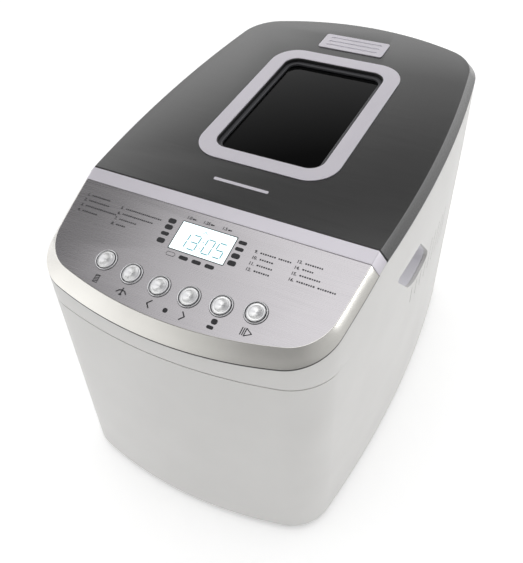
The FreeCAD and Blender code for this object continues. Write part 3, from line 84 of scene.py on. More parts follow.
def linear(hex_colour: str) -> Colour:
    """Turn an sRGB hex colour into a linear one.

    Args:
        hex_colour: Six hex digits, such as "c8c4cc".

    Returns:
        Linear red, green, blue and an alpha of 1.
    """
    parts = []
    for start in (0, 2, 4):
        value = int(hex_colour[start : start + 2], 16) / 255
        parts.append(value / 12.92 if value <= 0.04045 else ((value + 0.055) / 1.055) ** 2.4)
    return (parts[0], parts[1], parts[2], 1.0)


def connect(node: Node, inputs: dict) -> None:
    """Set or link inputs of a node.

    Args:
        node: The node.
        inputs: Input name or number to a value, or to an output socket that feeds it.
    """
    for key, value in inputs.items():
        if isinstance(value, NodeSocket):
            node.id_data.links.new(value, node.inputs[key])
        else:
            node.inputs[key].default_value = value


def add_node(tree: NodeTree, kind: str, inputs: dict | None = None, **settings) -> Node:
    """Add one node, set it up and link its inputs.

    Args:
        tree: Node tree to add to.
        kind: Blender's node type name, without its "ShaderNode".
        inputs: What its inputs get, as in connect.
        **settings: Attributes of the node itself.

    Returns:
        The new node.
    """
    node = tree.nodes.new("ShaderNode" + kind)
    for key, value in settings.items():
        setattr(node, key, value)
    connect(node, inputs or {})
    return node


def set_ramp(ramp: Node, stops: list[tuple[float, Colour]]) -> None:
    """Give a colour ramp its stops.

    Args:
        ramp: Colour ramp node.
        stops: Place from 0 to 1 and linear colour of each stop, in order.
    """
    elements = ramp.color_ramp.elements
    while len(elements) < len(stops):
        elements.new(1.0)
    for element, (place, colour) in zip(elements, stops):
        element.position = place
        element.color = colour


# ---- finishes


@dataclass(frozen=True)
class Finish:
    """A surface finish; each kind builds its own material once."""

    name: str
    colour: str
    roughness: float

    def material(self) -> bpy.types.Material:
        """Return the material of this finish, building it the first time."""
        made = bpy.data.materials.get(self.name)
        if made is None:
            made = bpy.data.materials.new(self.name)
            made.use_nodes = True
            made.diffuse_color = linear(self.colour)
            shader = made.node_tree.nodes["Principled BSDF"]
            connect(shader, {"Base Color": linear(self.colour), "Roughness": self.roughness})
            self.dress(made.node_tree, shader)
        return made

    def dress(self, tree: NodeTree, shader: Node) -> None:
        """Add this finish's own nodes.

        Args:
            tree: The material's node tree.
            shader: Its principled shader.
        """

    def place(self, tree: NodeTree) -> NodeSocket:
        """Return the piece's own coordinates, in metres."""
        return add_node(tree, "TexCoord").outputs["Object"]

    def tone(self, tree: NodeTree, other: str, pitch: float) -> NodeSocket:
        """Mix the finish's colour with a near one in soft patches.

        Args:
            tree: The material's node tree.
            other: sRGB hex of the second colour.
            pitch: Size of a patch.

        Returns:
            The mixed colour.
        """
        noise = add_node(tree, "TexNoise", {"Vector": self.place(tree), "Scale": 1 / pitch, "Detail": 3.0})
        spread = add_node(tree, "MapRange", {"Value": noise.outputs[0], "From Min": 0.35, "From Max": 0.65})
        colours = {0: spread.outputs[0], 6: linear(self.colour), 7: linear(other)}
        return add_node(tree, "Mix", colours, data_type="RGBA").outputs[2]

    def texture(self, tree: NodeTree, pitch: float, depth: float, strength: float, detail: float = 2.0) -> NodeSocket:
        """Roughen the surface evenly.

        Args:
            tree: The material's node tree.
            pitch: Distance from one hump to the next.
            depth: Height of the humps.
            strength: Share of that height that shows.
            detail: Octaves of finer humps on them.

        Returns:
            The surface's direction.
        """
        noise = add_node(tree, "TexNoise", {"Vector": self.place(tree), "Scale": 1 / pitch, "Detail": detail})
        return add_node(
            tree, "Bump", {"Height": noise.outputs[0], "Distance": depth, "Strength": strength}
        ).outputs[0]


@dataclass(frozen=True)
class MouldedPlastic(Finish):
    """Injection-moulded ABS: dielectric, with a fine spark-eroded grain from the mould."""

    second: str = "d8d7d4"
    coat: float = 0.0
    metallic: float = 0.0

    def dress(self, tree: NodeTree, shader: Node) -> None:
        """Add the mould grain and a faint change of tone."""
        looks = {
            "Base Color": self.tone(tree, self.second, pitch=60 * MM),
            "Normal": self.texture(tree, pitch=0.5 * MM, depth=0.02 * MM, strength=0.6),
            "IOR": 1.53,
            "Coat Weight": self.coat,
            "Coat Roughness": 0.12,
            "Metallic": self.metallic,
        }
        connect(shader, looks)


@dataclass(frozen=True)
class BrushedSteel(Finish):
    """Stainless sheet brushed across the machine: fine parallel scratches that stretch highlights."""

    scratch: str = "8c8a8a"
    scratch_pitch: float = 0.45 * MM
    scratch_length: float = 50 * MM
    depth: float = 0.01 * MM
    least_dull: float = 0.85
    most_dull: float = 1.2

    def dress(self, tree: NodeTree, shader: Node) -> None:
        """Add the scratches to the colour, the roughness and the surface."""
        along, across = 1 / self.scratch_length, 1 / self.scratch_pitch
        stretched = add_node(tree, "Mapping", {"Vector": self.place(tree), "Scale": (along, across, across)})
        noise = add_node(tree, "TexNoise", {"Vector": stretched.outputs[0], "Scale": 1.0, "Detail": 4.0})
        lines = noise.outputs[0]
        ramp = add_node(tree, "ValToRGB", {"Fac": lines})
        set_ramp(ramp, [(0.3, linear(self.scratch)), (0.7, linear(self.colour))])
        least, most = self.roughness * self.least_dull, self.roughness * self.most_dull
        dull = add_node(tree, "MapRange", {"Value": lines, "To Min": least, "To Max": most})
        bump = add_node(tree, "Bump", {"Height": lines, "Distance": self.depth, "Strength": 0.2})
        surface = {"Base Color": ramp.outputs[0], "Roughness": dull.outputs[0], "Normal": bump.outputs[0]}
        connect(shader, surface | {"Metallic": 1.0})


@dataclass(frozen=True)
class SpunAluminium(Finish):
    """Aluminium turned on a lathe: circular tool marks as bumps, with painted highlight in two opposite pale wedges
    and painted shade between them.
    """

    # Colour of the painted shade between the highlight wedges.
    dark: str = "7d7d7f"
    wedges: int = 2
    mark_scale: float = 1.6

    def dress(self, tree: NodeTree, shader: Node) -> None:
        """Add the painted highlight wedges and the turning marks, from the piece's own turning map in millimetres."""
        turning = add_node(tree, "UVMap", uv_map=TURNING_MAP).outputs[0]
        angle = add_node(tree, "TexGradient", {"Vector": turning}, gradient_type="RADIAL")
        ramp = add_node(tree, "ValToRGB", {"Fac": angle.outputs[1]})
        ramp.color_ramp.interpolation = "EASE"
        # The dark and pale wedges are painted shade and painted highlight, set in the base colour round each cap's
        # middle.
        pair = (linear(self.dark), linear(self.colour))
        edges = 2 * self.wedges
        set_ramp(ramp, [(index / edges, pair[index % 2]) for index in range(edges + 1)])
        marks = {"Vector": turning, "Scale": self.mark_scale, "Distortion": 0.0}
        rings = add_node(tree, "TexWave", marks, wave_type="RINGS", rings_direction="Z")
        bump = add_node(tree, "Bump", {"Height": rings.outputs[1], "Distance": 0.03 * MM, "Strength": 0.3})
        connect(shader, {"Base Color": ramp.outputs[0], "Normal": bump.outputs[0], "Metallic": 1.0})


@dataclass(frozen=True)
class PlainMetal(Finish):
    """Sheet, cast or drawn metal with a faintly uneven, unpolished surface."""

    second: str = "8a8a8c"
    patch: float = 6 * MM

    def dress(self, tree: NodeTree, shader: Node) -> None:
        """Add uneven tone and a faint waviness."""
        tone = self.tone(tree, self.second, self.patch)
        waves = self.texture(tree, pitch=3 * MM, depth=0.04 * MM, strength=0.4, detail=4.0)
        connect(shader, {"Base Color": tone, "Normal": waves, "Metallic": 1.0})


@dataclass(frozen=True)
class NonStick(Finish):
    """PTFE coating sprayed on aluminium: near black, satin, with pale flecks in it."""

    fleck: str = "5a5a5e"
    fleck_pitch: float = 2.2 * MM

    def dress(self, tree: NodeTree, shader: Node) -> None:
        """Add the flecks and the sprayed texture."""
        cells = add_node(tree, "TexVoronoi", {"Vector": self.place(tree), "Scale": 1 / self.fleck_pitch})
        ramp = add_node(tree, "ValToRGB", {"Fac": cells.outputs[0]})
        set_ramp(ramp, [(0.12, linear(self.fleck)), (0.2, linear(self.colour))])
        mist = self.texture(tree, pitch=0.8 * MM, depth=0.03 * MM, strength=0.5)
        connect(shader, {"Base Color": ramp.outputs[0], "Normal": mist, "IOR": 1.38})


@dataclass(frozen=True)
class SmokedGlass(Finish):
    """Toughened glass with a dark tint: clear enough for reflections to stay sharp."""

    film: str = "8a8a8c"

    def dress(self, tree: NodeTree, shader: Node) -> None:
        """Let tinted light through and keep the surface faintly uneven, as rolled glass is."""
        ripple = self.texture(tree, pitch=40 * MM, depth=0.05 * MM, strength=0.2)
        # An anti-glare film dims the reflection of plain glass.
        looks = {"Transmission Weight": 1.0, "IOR": 1.52, "Specular Tint": linear(self.film), "Normal": ripple}
        connect(shader, looks)


@dataclass(frozen=True)
class Rubber(Finish):
    """Moulded silicone or rubber: soft, matt, faintly dusty."""

    dust: str = "3a3a3b"

    def dress(self, tree: NodeTree, shader: Node) -> None:
        """Add the dusty bloom and a pebbled surface."""
        tone = self.tone(tree, self.dust, pitch=5 * MM)
        pebbles = self.texture(tree, pitch=1.2 * MM, depth=0.05 * MM, strength=0.5)
        connect(shader, {"Base Color": tone, "Normal": pebbles, "IOR": 1.45})


@dataclass(frozen=True)
class Ink(Finish):
    """Screen-printed ink: a thin matt film whose density changes a little."""

    thin: str = "303034"

    def dress(self, tree: NodeTree, shader: Node) -> None:
        """Add the uneven density of the film."""
        connect(shader, {"Base Color": self.tone(tree, self.thin, pitch=0.8 * MM), "IOR": 1.48})


@dataclass(frozen=True)
class Backlight(Finish):
    """Lit liquid-crystal face: a pale glowing film behind a clear cover."""

    edge: str = "9fd8e0"
    strength: float = 0.8

    def dress(self, tree: NodeTree, shader: Node) -> None:
        """Add the glow, a little bluer in patches where the light guide is uneven."""
        tone = self.tone(tree, self.edge, pitch=25 * MM)
        connect(shader, {"Emission Color": tone, "Emission Strength": self.strength, "Coat Weight": 0.4})


@dataclass(frozen=True)
class LitSweep(Finish):
    """Acrylic sweep lit from below: matt white with an even, faint glow."""

    glow: float = 0.36

    def dress(self, tree: NodeTree, shader: Node) -> None:
        """Add the glow."""
        connect(shader, {"Emission Color": linear("ffffff"), "Emission Strength": self.glow})


# ABS in warm white, satin from the mould: broad soft highlights.
WHITE_ABS = MouldedPlastic("White_moulded_ABS", "d5d4d2", 0.38, second="d1d0ce")
# Cool pale ABS of the scoops behind the grips and of the vent's throat: duller than the housing, and paler than it as
# painted light that offsets the shade in these hollows.
PALE_ABS_PAINTED_LIGHT = MouldedPlastic("Pale_ABS_painted_light", "efeef2", 0.5, second="ebeaee")
# Charcoal ABS of the base and the lid's liner: satin, soft highlights.
DARK_ABS = MouldedPlastic("Dark_moulded_ABS", "48484b", 0.4, second="434346")
# Black ABS of lips, wells and small parts; the same black colours the beads and fillers in the gaps as painted
# shadow.
BLACK_ABS_AND_GAP_SHADOW = MouldedPlastic("Black_ABS_and_painted_gap_shadow", "101011", 0.45, second="131314")
# ABS lacquered with silver flake: pale lilac, satin, brighter than bare metal.
SILVER_LACQUER = MouldedPlastic("Silver_lacquered_ABS", "e0dce4", 0.34, second="dbd7df", coat=0.2, metallic=0.2)
# Dark brushed stainless of the lid and the paler one of the control fascia: streaks along X.
DARK_STEEL = BrushedSteel("Dark_brushed_steel", "757575", 0.24, scratch="6d6d6d")
FASCIA_STEEL = BrushedSteel("Brushed_steel_fascia", "bab7ba", 0.27, scratch="b0adb0")
# Turned stainless of shafts and screws: bright, tight highlights.
BRIGHT_STEEL = BrushedSteel("Turned_bright_steel", "c4c4c4", 0.25, scratch="b0b0b0", scratch_pitch=0.4 * MM)
# The fascia's upward-facing edge faces get this paler steel as a painted highlight.
PAINTED_HIGHLIGHT_EDGE = PlainMetal("Fascia_edge_painted_highlight", "e6e4df", 0.24, second="e0ded9", patch=40 * MM)
# Lathe-turned button caps: two wedges of painted highlight on a pale disc, with painted shade between them.
SPUN_CAPS = SpunAluminium("Spun_aluminium_painted_sheen", "fdfdfd", 0.3, dark="c2c2c4")
# Polished aluminium of the button rings: the sharpest glints on the panel.
RING_METAL = PlainMetal("Polished_ring_aluminium", "e4e4e6", 0.2, second="d6d6d8")
# Pressed aluminium of the pan's outside: pale and soft.
ALUMINIUM = PlainMetal("Pressed_aluminium", "c6c6c8", 0.38, second="b6b6b8")
# Zinc-plated steel of brackets and hinges: bluish grey, mottled.
ZINC = PlainMetal("Zinc_plated_steel", "a9adb0", 0.42, second="989c9f")
# Sintered bronze of the bushes: brown-gold and matt.
BRONZE = PlainMetal("Sintered_bronze", "a8793e", 0.5, second="966a34")
# Stoved paint of the motor: mid grey, satin.
MOTOR_PAINT = MouldedPlastic("Grey_stoved_paint", "5a5c5e", 0.45, second="555759")
# Aluminised steel of the oven chamber: dull grey, patchy.
CHAMBER_COAT = PlainMetal("Aluminised_steel", "6b6b6d", 0.5, second="5f5f61")
# Sprayed PTFE inside the pan: near black with pale flecks.
NON_STICK = NonStick("Sprayed_PTFE", "1b1b1d", 0.4)
# Heater sheath: brown-grey from oxide, nearly matt.
HEATER = PlainMetal("Oxidised_heater_steel", "4c4845", 0.55, second="3f3b39")
# Rubber of feet and belt: soft black, and the paler silicone of the lid's gasket.
FOOT_RUBBER = Rubber("Moulded_rubber", "242425", 0.75)
SILICONE = Rubber("Grey_silicone", "6d6d70", 0.6, dust="77777a")
# Smoked glass: dark, with sharp but dimmed reflections.
GLASS = SmokedGlass("Smoked_toughened_glass", "1c1c1e", 0.03)
# Epoxy laminate of the circuit boards: green, satin.
LAMINATE = MouldedPlastic("Epoxy_laminate", "1f5a34", 0.45, second="1b5230")
# Inks: matt black print, and the blue-green of a lit display's segments.
INK = Ink("Black_screen_print", "19191b", 0.6)
DIGIT_INK = Ink("Liquid_crystal_segment", "5fb4c2", 0.4, thin="69bbc8")
# Lit display: almost white, faintly blue.
LCD_GLOW = Backlight("Backlit_liquid_crystal", "e8fbff", 0.15, edge="f4ffff")
FLOOR_SWEEP = LitSweep("White_acrylic_sweep", "f6f6f6", 0.9)

CAD_FINISHES: dict[str, Finish] = {
    "housing_white": WHITE_ABS,
    "base_grey": DARK_ABS,
    "foot_rubber": FOOT_RUBBER,
    "screw_steel": BRIGHT_STEEL,
    "silver_trim": SILVER_LACQUER,
    "deck_white": PALE_ABS_PAINTED_LIGHT,
    "chamber_coating": CHAMBER_COAT,
    "heater_steel": HEATER,
    "bright_steel": BRIGHT_STEEL,
    "pan_coating": NON_STICK,
    "pan_aluminium": ALUMINIUM,
    "pulley_black": BLACK_ABS_AND_GAP_SHADOW,
    "bush_bronze": BRONZE,
    "belt_rubber": FOOT_RUBBER,
    "zinc_sheet": ZINC,
    "motor_grey": MOTOR_PAINT,
    "board_green": LAMINATE,
    "component_black": BLACK_ABS_AND_GAP_SHADOW,
    "fascia_steel": FASCIA_STEEL,
    "display_clear": LCD_GLOW,
    "ring_silver": RING_METAL,
    "button_metal": SPUN_CAPS,
    "lid_steel": DARK_STEEL,
    "liner_grey": DARK_ABS,
    "gasket_silicone": SILICONE,
    "window_clear": GLASS,
}


# ---- planes and outline


@dataclass(frozen=True)
class TopPlane:
    """A sloping plane across the top of the housing, rising towards the back."""

    slope: float
    body: Body
    crease_y: float = -93.3 * MM
    crease_z: float = 242.8 * MM
    cap: float = 7.8 * MM

    def height(self, y: float, rise: float = 0.0) -> float:
        """Return the plane's height at a depth, raised by a distance."""
        return self.crease_z + self.slope * (y - self.crease_y) + rise

    def place(self) -> Matrix:
        """Return the matrix that stands a flat piece on the top face over this plane."""
        lift = Matrix.Translation((0, self.crease_y, self.crease_z + self.cap))
        return lift @ Matrix.Rotation(math.atan(self.slope), 4, "X")


LID_PLANE = TopPlane(0.0902, Body.LID)
PANEL_PLANE = TopPlane(0.349, Body.BASE)


@dataclass(frozen=True)
class PlanOutline:
    """Outline of the housing in plan: four shallow arcs joined by round corners."""

    half_width: float = 130.0 * MM
    half_depth: float = 197.75 * MM
    front_radius: float = 359.0 * MM
    side_radius: float = 1050.0 * MM
    back_radius: float = 251.5 * MM
    side_centre_y: float = -10.7 * MM
    front_corner: float = 40.0 * MM
    rear_corner: float = 45.5 * MM
    shallow_steps: int = 32
    corner_steps: int = 20

    def corner_centre(
        self, end: Vector, end_reach: float, side: Vector, side_reach: float, rear: bool
    ) -> Vector:
        """Find the centre of a right-hand corner that touches two arcs from inside.

        Args:
            end: Centre of the front or back arc.
            end_reach: That arc's radius less the corner's.
            side: Centre of the side arc.
            side_reach: The side arc's radius less the corner's.
            rear: True for the rear corner.

        Returns:
            The corner's centre.
        """
        apart = (side - end).length
        along = (apart**2 + end_reach**2 - side_reach**2) / (2 * apart)
        aside = math.sqrt(end_reach**2 - along**2)
        unit = (side - end) / apart
        normal = Vector((-unit.y, unit.x))
        options = [end + unit * along + normal * aside, end + unit * along - normal * aside]
        return next(c for c in options if c.x > 0 and (c.y > side.y) == rear)

    def ring(self, side: float = 0.0, front: float | None = None) -> list[Vector]:
        """Sample the outline, moved inwards.

        Args:
            side: Distance inwards at the sides and the back.
            front: Distance inwards at the front, the same as the sides if left out.

        Returns:
            Points anticlockwise from the left end of the front arc, always as many.
        """
        ahead = side if front is None else front
        front_c = Vector((0, self.front_radius - self.half_depth))
        back_c = Vector((0, self.half_depth - self.back_radius))
        side_c = Vector((self.half_width - self.side_radius, self.side_centre_y))
        front_r, back_r, side_r = self.front_radius - ahead, self.back_radius - side, self.side_radius - side
        near_r, far_r = self.front_corner - side, self.rear_corner - side
        near = self.corner_centre(front_c, front_r - near_r, side_c, side_r - near_r, False)
        far = self.corner_centre(back_c, back_r - far_r, side_c, side_r - far_r, True)
        bearing_front = math.atan2(*(near - front_c).yx)
        bearing_near = math.atan2(*(near - side_c).yx)
        bearing_far = math.atan2(*(far - side_c).yx)
        bearing_back = math.atan2(*(far - back_c).yx)
        arcs = [
            (front_c, front_r, -math.pi / 2, bearing_front, self.shallow_steps // 2),
            (near, near_r, bearing_front, bearing_near, self.corner_steps),
            (side_c, side_r, bearing_near, bearing_far, self.shallow_steps),
            (far, far_r, bearing_far, bearing_back, self.corner_steps),
            (back_c, back_r, bearing_back, math.pi / 2, self.shallow_steps // 2),
        ]
        right = []
        for centre, radius, start, end, steps in arcs:
            for step in range(steps):
                angle = start + (end - start) * step / steps
                right.append(centre + radius * Vector((math.cos(angle), math.sin(angle))))
        right.append(back_c + Vector((0, back_r)))
        left = [Vector((-p.x, p.y)) for p in reversed(right[1:-1])]
        return right + left


OUTLINE = PlanOutline()


# ---- mesh helpers


def add_ring(bm: BMesh, points: list[Vector]) -> list[BMEdge]:
    """Start a form with one closed ring of edges.

    Args:
        bm: Mesh to add to.
        points: The ring's points in order.

    Returns:
        Its edges.
    """
    verts = [bm.verts.new(p) for p in points]
    return [bm.edges.new((verts[i], verts[(i + 1) % len(verts)])) for i in range(len(verts))]


def ringed_form(rings: list[list[Vector]], tube: bool = False) -> BMesh:
    """Bridge rings that have the same number of points into one skin.

    Args:
        rings: The rings in order.
        tube: True to bridge the last ring back to the first, False to close both ends with a face.

    Returns:
        The new mesh.
    """
    bm = bmesh.new()
    loops = [add_ring(bm, ring) for ring in rings]
    pairs = list(zip(loops, loops[1:]))
    if tube:
        pairs.append((loops[-1], loops[0]))
    for first, second in pairs:
        bmesh.ops.bridge_loops(bm, edges=first + second)
    if not tube:
        bmesh.ops.contextual_create(bm, geom=loops[0])
        bmesh.ops.contextual_create(bm, geom=loops[-1])
    bmesh.ops.recalc_face_normals(bm, faces=bm.faces)
    return bm


def plate(half_x: float, front: float, back: float, corner: float, low: float, high: float) -> BMesh:
    """Make a flat plate with round corners.

    Args:
        half_x: Half its width.
        front: Its front edge along Y.
        back: Its back edge along Y.
        corner: Radius of its corners.
        low: Height of its underside.
        high: Height of its top.

    Returns:
        The new mesh.
    """
    bm = bmesh.new()
    bmesh.ops.create_grid(bm, x_segments=1, y_segments=1, size=0.5)
    bmesh.ops.scale(bm, vec=(2 * half_x, back - front, 1), verts=bm.verts)
    bmesh.ops.translate(bm, vec=(0, (front + back) / 2, low), verts=bm.verts)
    if corner > 0:
        bmesh.ops.bevel(
            bm, geom=list(bm.verts), offset=corner, segments=12, profile=0.5, affect="VERTICES", material=-1
        )
    return swept(bm, (0, 0, high - low))


def swept(bm: BMesh, way: tuple[float, float, float]) -> BMesh:
    """Sweep a flat mesh into a block.

    Args:
        bm: The flat mesh, which grows into the block.
        way: How far it is swept, along each axis.

    Returns:
        The same mesh.
    """
    grown = bmesh.ops.extrude_face_region(bm, geom=list(bm.faces))["geom"]
    bmesh.ops.translate(bm, vec=way, verts=[item for item in grown if isinstance(item, BMVert)])
    bmesh.ops.recalc_face_normals(bm, faces=bm.faces)
    return bm


def box(low: tuple[float, float, float], high: tuple[float, float, float]) -> BMesh:
    """Make a box.

    Args:
        low: Its lowest corner.
        high: Its highest corner.

    Returns:
        The new mesh.
    """
    bm = bmesh.new()
    bmesh.ops.create_cube(bm, size=1.0)
    a, b = Vector(low), Vector(high)
    bmesh.ops.scale(bm, vec=b - a, verts=bm.verts)
    bmesh.ops.translate(bm, vec=(a + b) / 2, verts=bm.verts)
    return bm


def turned(profile: list[Point]) -> BMesh:
    """Turn a profile round the Z axis into a closed form.

    Args:
        profile: Radius and height of each point; it starts and ends on the axis or closes on itself.

    Returns:
        The new mesh.
    """
    bm = bmesh.new()
    verts = [bm.verts.new((radius, 0, height)) for radius, height in profile]
    edges = [bm.edges.new(pair) for pair in zip(verts, verts[1:])]
    if profile[0][0] > 0:
        edges.append(bm.edges.new((verts[-1], verts[0])))
    turn = {"cent": (0, 0, 0), "axis": (0, 0, 1), "angle": math.tau, "steps": TURN_STEPS}
    bmesh.ops.spin(bm, geom=verts + edges, use_merge=True, **turn)
    bmesh.ops.remove_doubles(bm, verts=bm.verts, dist=MERGE_GAP)
    bmesh.ops.recalc_face_normals(bm, faces=bm.faces)
    return bm


def merge(meshes: list[BMesh]) -> BMesh:
    """Gather several meshes in one.

    Args:
        meshes: The meshes, freed afterwards.

    Returns:
        The new mesh.
    """
    whole = bmesh.new()
    for part in meshes:
        spare = bpy.data.meshes.new("spare")
        part.to_mesh(spare)
        part.free()
        whole.from_mesh(spare)
        bpy.data.meshes.remove(spare)
    return whole


def moved(bm: BMesh, matrix: Matrix) -> BMesh:
    """Move a whole mesh and return it."""
    bmesh.ops.transform(bm, matrix=matrix, verts=bm.verts)
    return bm


def as_object(name: str, bm: BMesh) -> Object:
    """Turn a mesh into an object in the scene.

    Args:
        name: The object's name.
        bm: Its mesh, freed afterwards.

    Returns:
        The object.
    """
    mesh = bpy.data.meshes.new(name)
    bm.to_mesh(mesh)
    bm.free()
    item = bpy.data.objects.new(name, mesh)
    bpy.context.scene.collection.objects.link(item)
    return item


def carve(item: Object, cutters: list[BMesh]) -> None:
    """Cut shapes out of an object's mesh.

    Args:
        item: Object whose mesh is cut.
        cutters: Closed meshes, freed afterwards.
    """
    tools = [as_object(f"cutter_{index}", bm) for index, bm in enumerate(cutters)]
    for tool in tools:
        cut = item.modifiers.new("cut", "BOOLEAN")
        cut.operation = "DIFFERENCE"
        cut.solver = "EXACT"
        cut.object = tool
    graph = bpy.context.evaluated_depsgraph_get()
    mesh = bpy.data.meshes.new_from_object(item.evaluated_get(graph))
    item.modifiers.clear()
    old, item.data = item.data, mesh
    bpy.data.meshes.remove(old)
    mesh.name = item.name
    for tool in tools:
        spare = tool.data
        bpy.data.objects.remove(tool)
        bpy.data.meshes.remove(spare)


def soften(item: Object, width: float, segments: int = 3, angle: float = 35.0) -> None:
    """Round the sharp edges of a finished object.

    Args:
        item: The object.
        width: Width of the rounding.
        segments: Facets across it.
        angle: Edges sharper than this many degrees are rounded.
    """
    bevel = item.modifiers.new("edge_rounding", "BEVEL")
    bevel.width = width
    bevel.segments = segments
    bevel.limit_method = "ANGLE"
    bevel.angle_limit = math.radians(angle)
    bevel.harden_normals = True
    bevel.use_clamp_overlap = True


def dress(
    item: Object, finish: Finish, body: Body, stands_for: tuple[str, ...] = (), sharp: float = 35.0
) -> None:
    """Give a piece its finish, body and shading.

    Args:
        item: The piece.
        finish: Its finish.
        body: The body that it rides on.
        stands_for: CAD nodes that it replaces.
        sharp: Edges sharper than this many degrees stay sharp in the shading.
    """
    item.data.materials.clear()
    item.data.materials.append(finish.material())
    item.data.shade_smooth()
    item.data.set_sharp_from_angle(angle=math.radians(sharp))
    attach(item, body.value)
    if stands_for:
        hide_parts(*stands_for)
    log.info("%s: %d faces, %s, on %s", item.name, len(item.data.polygons), finish.name, body.value)


def stand(
    name: str, bm: BMesh, plane: TopPlane, finish: Finish, slot: str, stands_for: tuple[str, ...] = (), *holes: BMesh
) -> Object:
    """Make a flat piece, cut its holes, stand it on a top plane and dress it for the body there.

    Args:
        name: The piece's name.
        bm: Its mesh, lying flat.
        plane: The plane that it stands on.
        finish: Its finish.
        slot: The record's material slot that it belongs to; not used.
        stands_for: CAD nodes that it replaces.
        *holes: Closed meshes cut out of it, lying flat too.

    Returns:
        The piece.
    """
    item = as_object(name, bm)
    if holes:
        carve(item, list(holes))
    item.data.transform(plane.place())
    dress(item, finish, plane.body, stands_for)
    return item


def plane_ring(plane: TopPlane, rise: float, side: float, front: float | None = None) -> list[Vector]:
    """Return a ring of the outline, moved inwards, at a height over a sloping plane."""
    return [Vector((p.x, p.y, plane.height(p.y, rise))) for p in OUTLINE.ring(side, front)]


def capped_rings(
    plane: TopPlane, low: float, side_run: float, front_run: float, edge: float
) -> list[list[Vector]]:
    """Rings of a form that stands on a sloping plane with sloping sides and a rounded top edge.

    Args:
        plane: The plane that it stands on.
        low: Height of its lower edge over the plane.
        side_run: How far its sides lean in at the sides and the back.
        front_run: How far they lean in at the front.
        edge: Size of the rounding along its top edge.

    Returns:
        Rings from its lower edge to its top.
    """
    side_share, front_share = 0.9, 1.1
    shoulder = plane.cap - edge * 0.5
    lean = (shoulder - low) / (plane.cap - low)
    rings = [plane_ring(plane, low, 0.0, 0.0)]
    for step in range(EDGE_STEPS + 1):
        turn = step / EDGE_STEPS * math.pi / 2
        rise = plane.cap - edge * 0.5 * (1 - math.sin(turn))
        extra = edge * (1 - math.cos(turn))
        side, front = side_run * lean + extra * side_share, front_run * lean + extra * front_share
        rings.append(plane_ring(plane, rise, side, front))
    return rings


def clip(bm: BMesh, y: float, keep_behind: bool, tube: bool = False) -> None:
    """Cut a form at one depth and close the cut.

    Args:
        bm: The form.
        y: Depth of the cut.
        keep_behind: True to keep what lies behind the cut.
        tube: True where the cut crosses a tube and leaves a hole at each end.
    """
    geometry = list(bm.verts) + list(bm.edges) + list(bm.faces)
    keep = {"clear_inner": keep_behind, "clear_outer": not keep_behind}
    done = bmesh.ops.bisect_plane(
        bm, geom=geometry, dist=MERGE_GAP, plane_co=(0, y, 0), plane_no=(0, 1, 0), **keep
    )
    edges = [item for item in done["geom_cut"] if isinstance(item, BMEdge)]
    if tube:
        bmesh.ops.holes_fill(bm, edges=edges)
    else:
        bmesh.ops.contextual_create(bm, geom=edges)
    bmesh.ops.recalc_face_normals(bm, faces=bm.faces)


def gap_shadow_bead(plane: TopPlane, gap: float, y: float, keep_behind: bool) -> BMesh:
    """Make a thin upright bead in the gap under a top plate, nearly flush with the wall, that darkens the gap as
    painted shadow.

    Args:
        plane: The plate's plane.
        gap: Height of the plate's lower edge over the plane.
        y: Depth where the bead ends.
        keep_behind: True for a bead behind that depth, False for one in front of it.

    Returns:
        The bead.
    """
    inset, thick = 0.05 * MM, 1.0 * MM
    low, high = -0.7 * MM, gap - 0.02 * MM
    corners = ((inset, low), (inset, high), (inset + thick, high), (inset + thick, low))
    bm = ringed_form([plane_ring(plane, rise, side) for side, rise in corners], tube=True)
    clip(bm, y, keep_behind, tube=True)
    return bm


# ---- housing


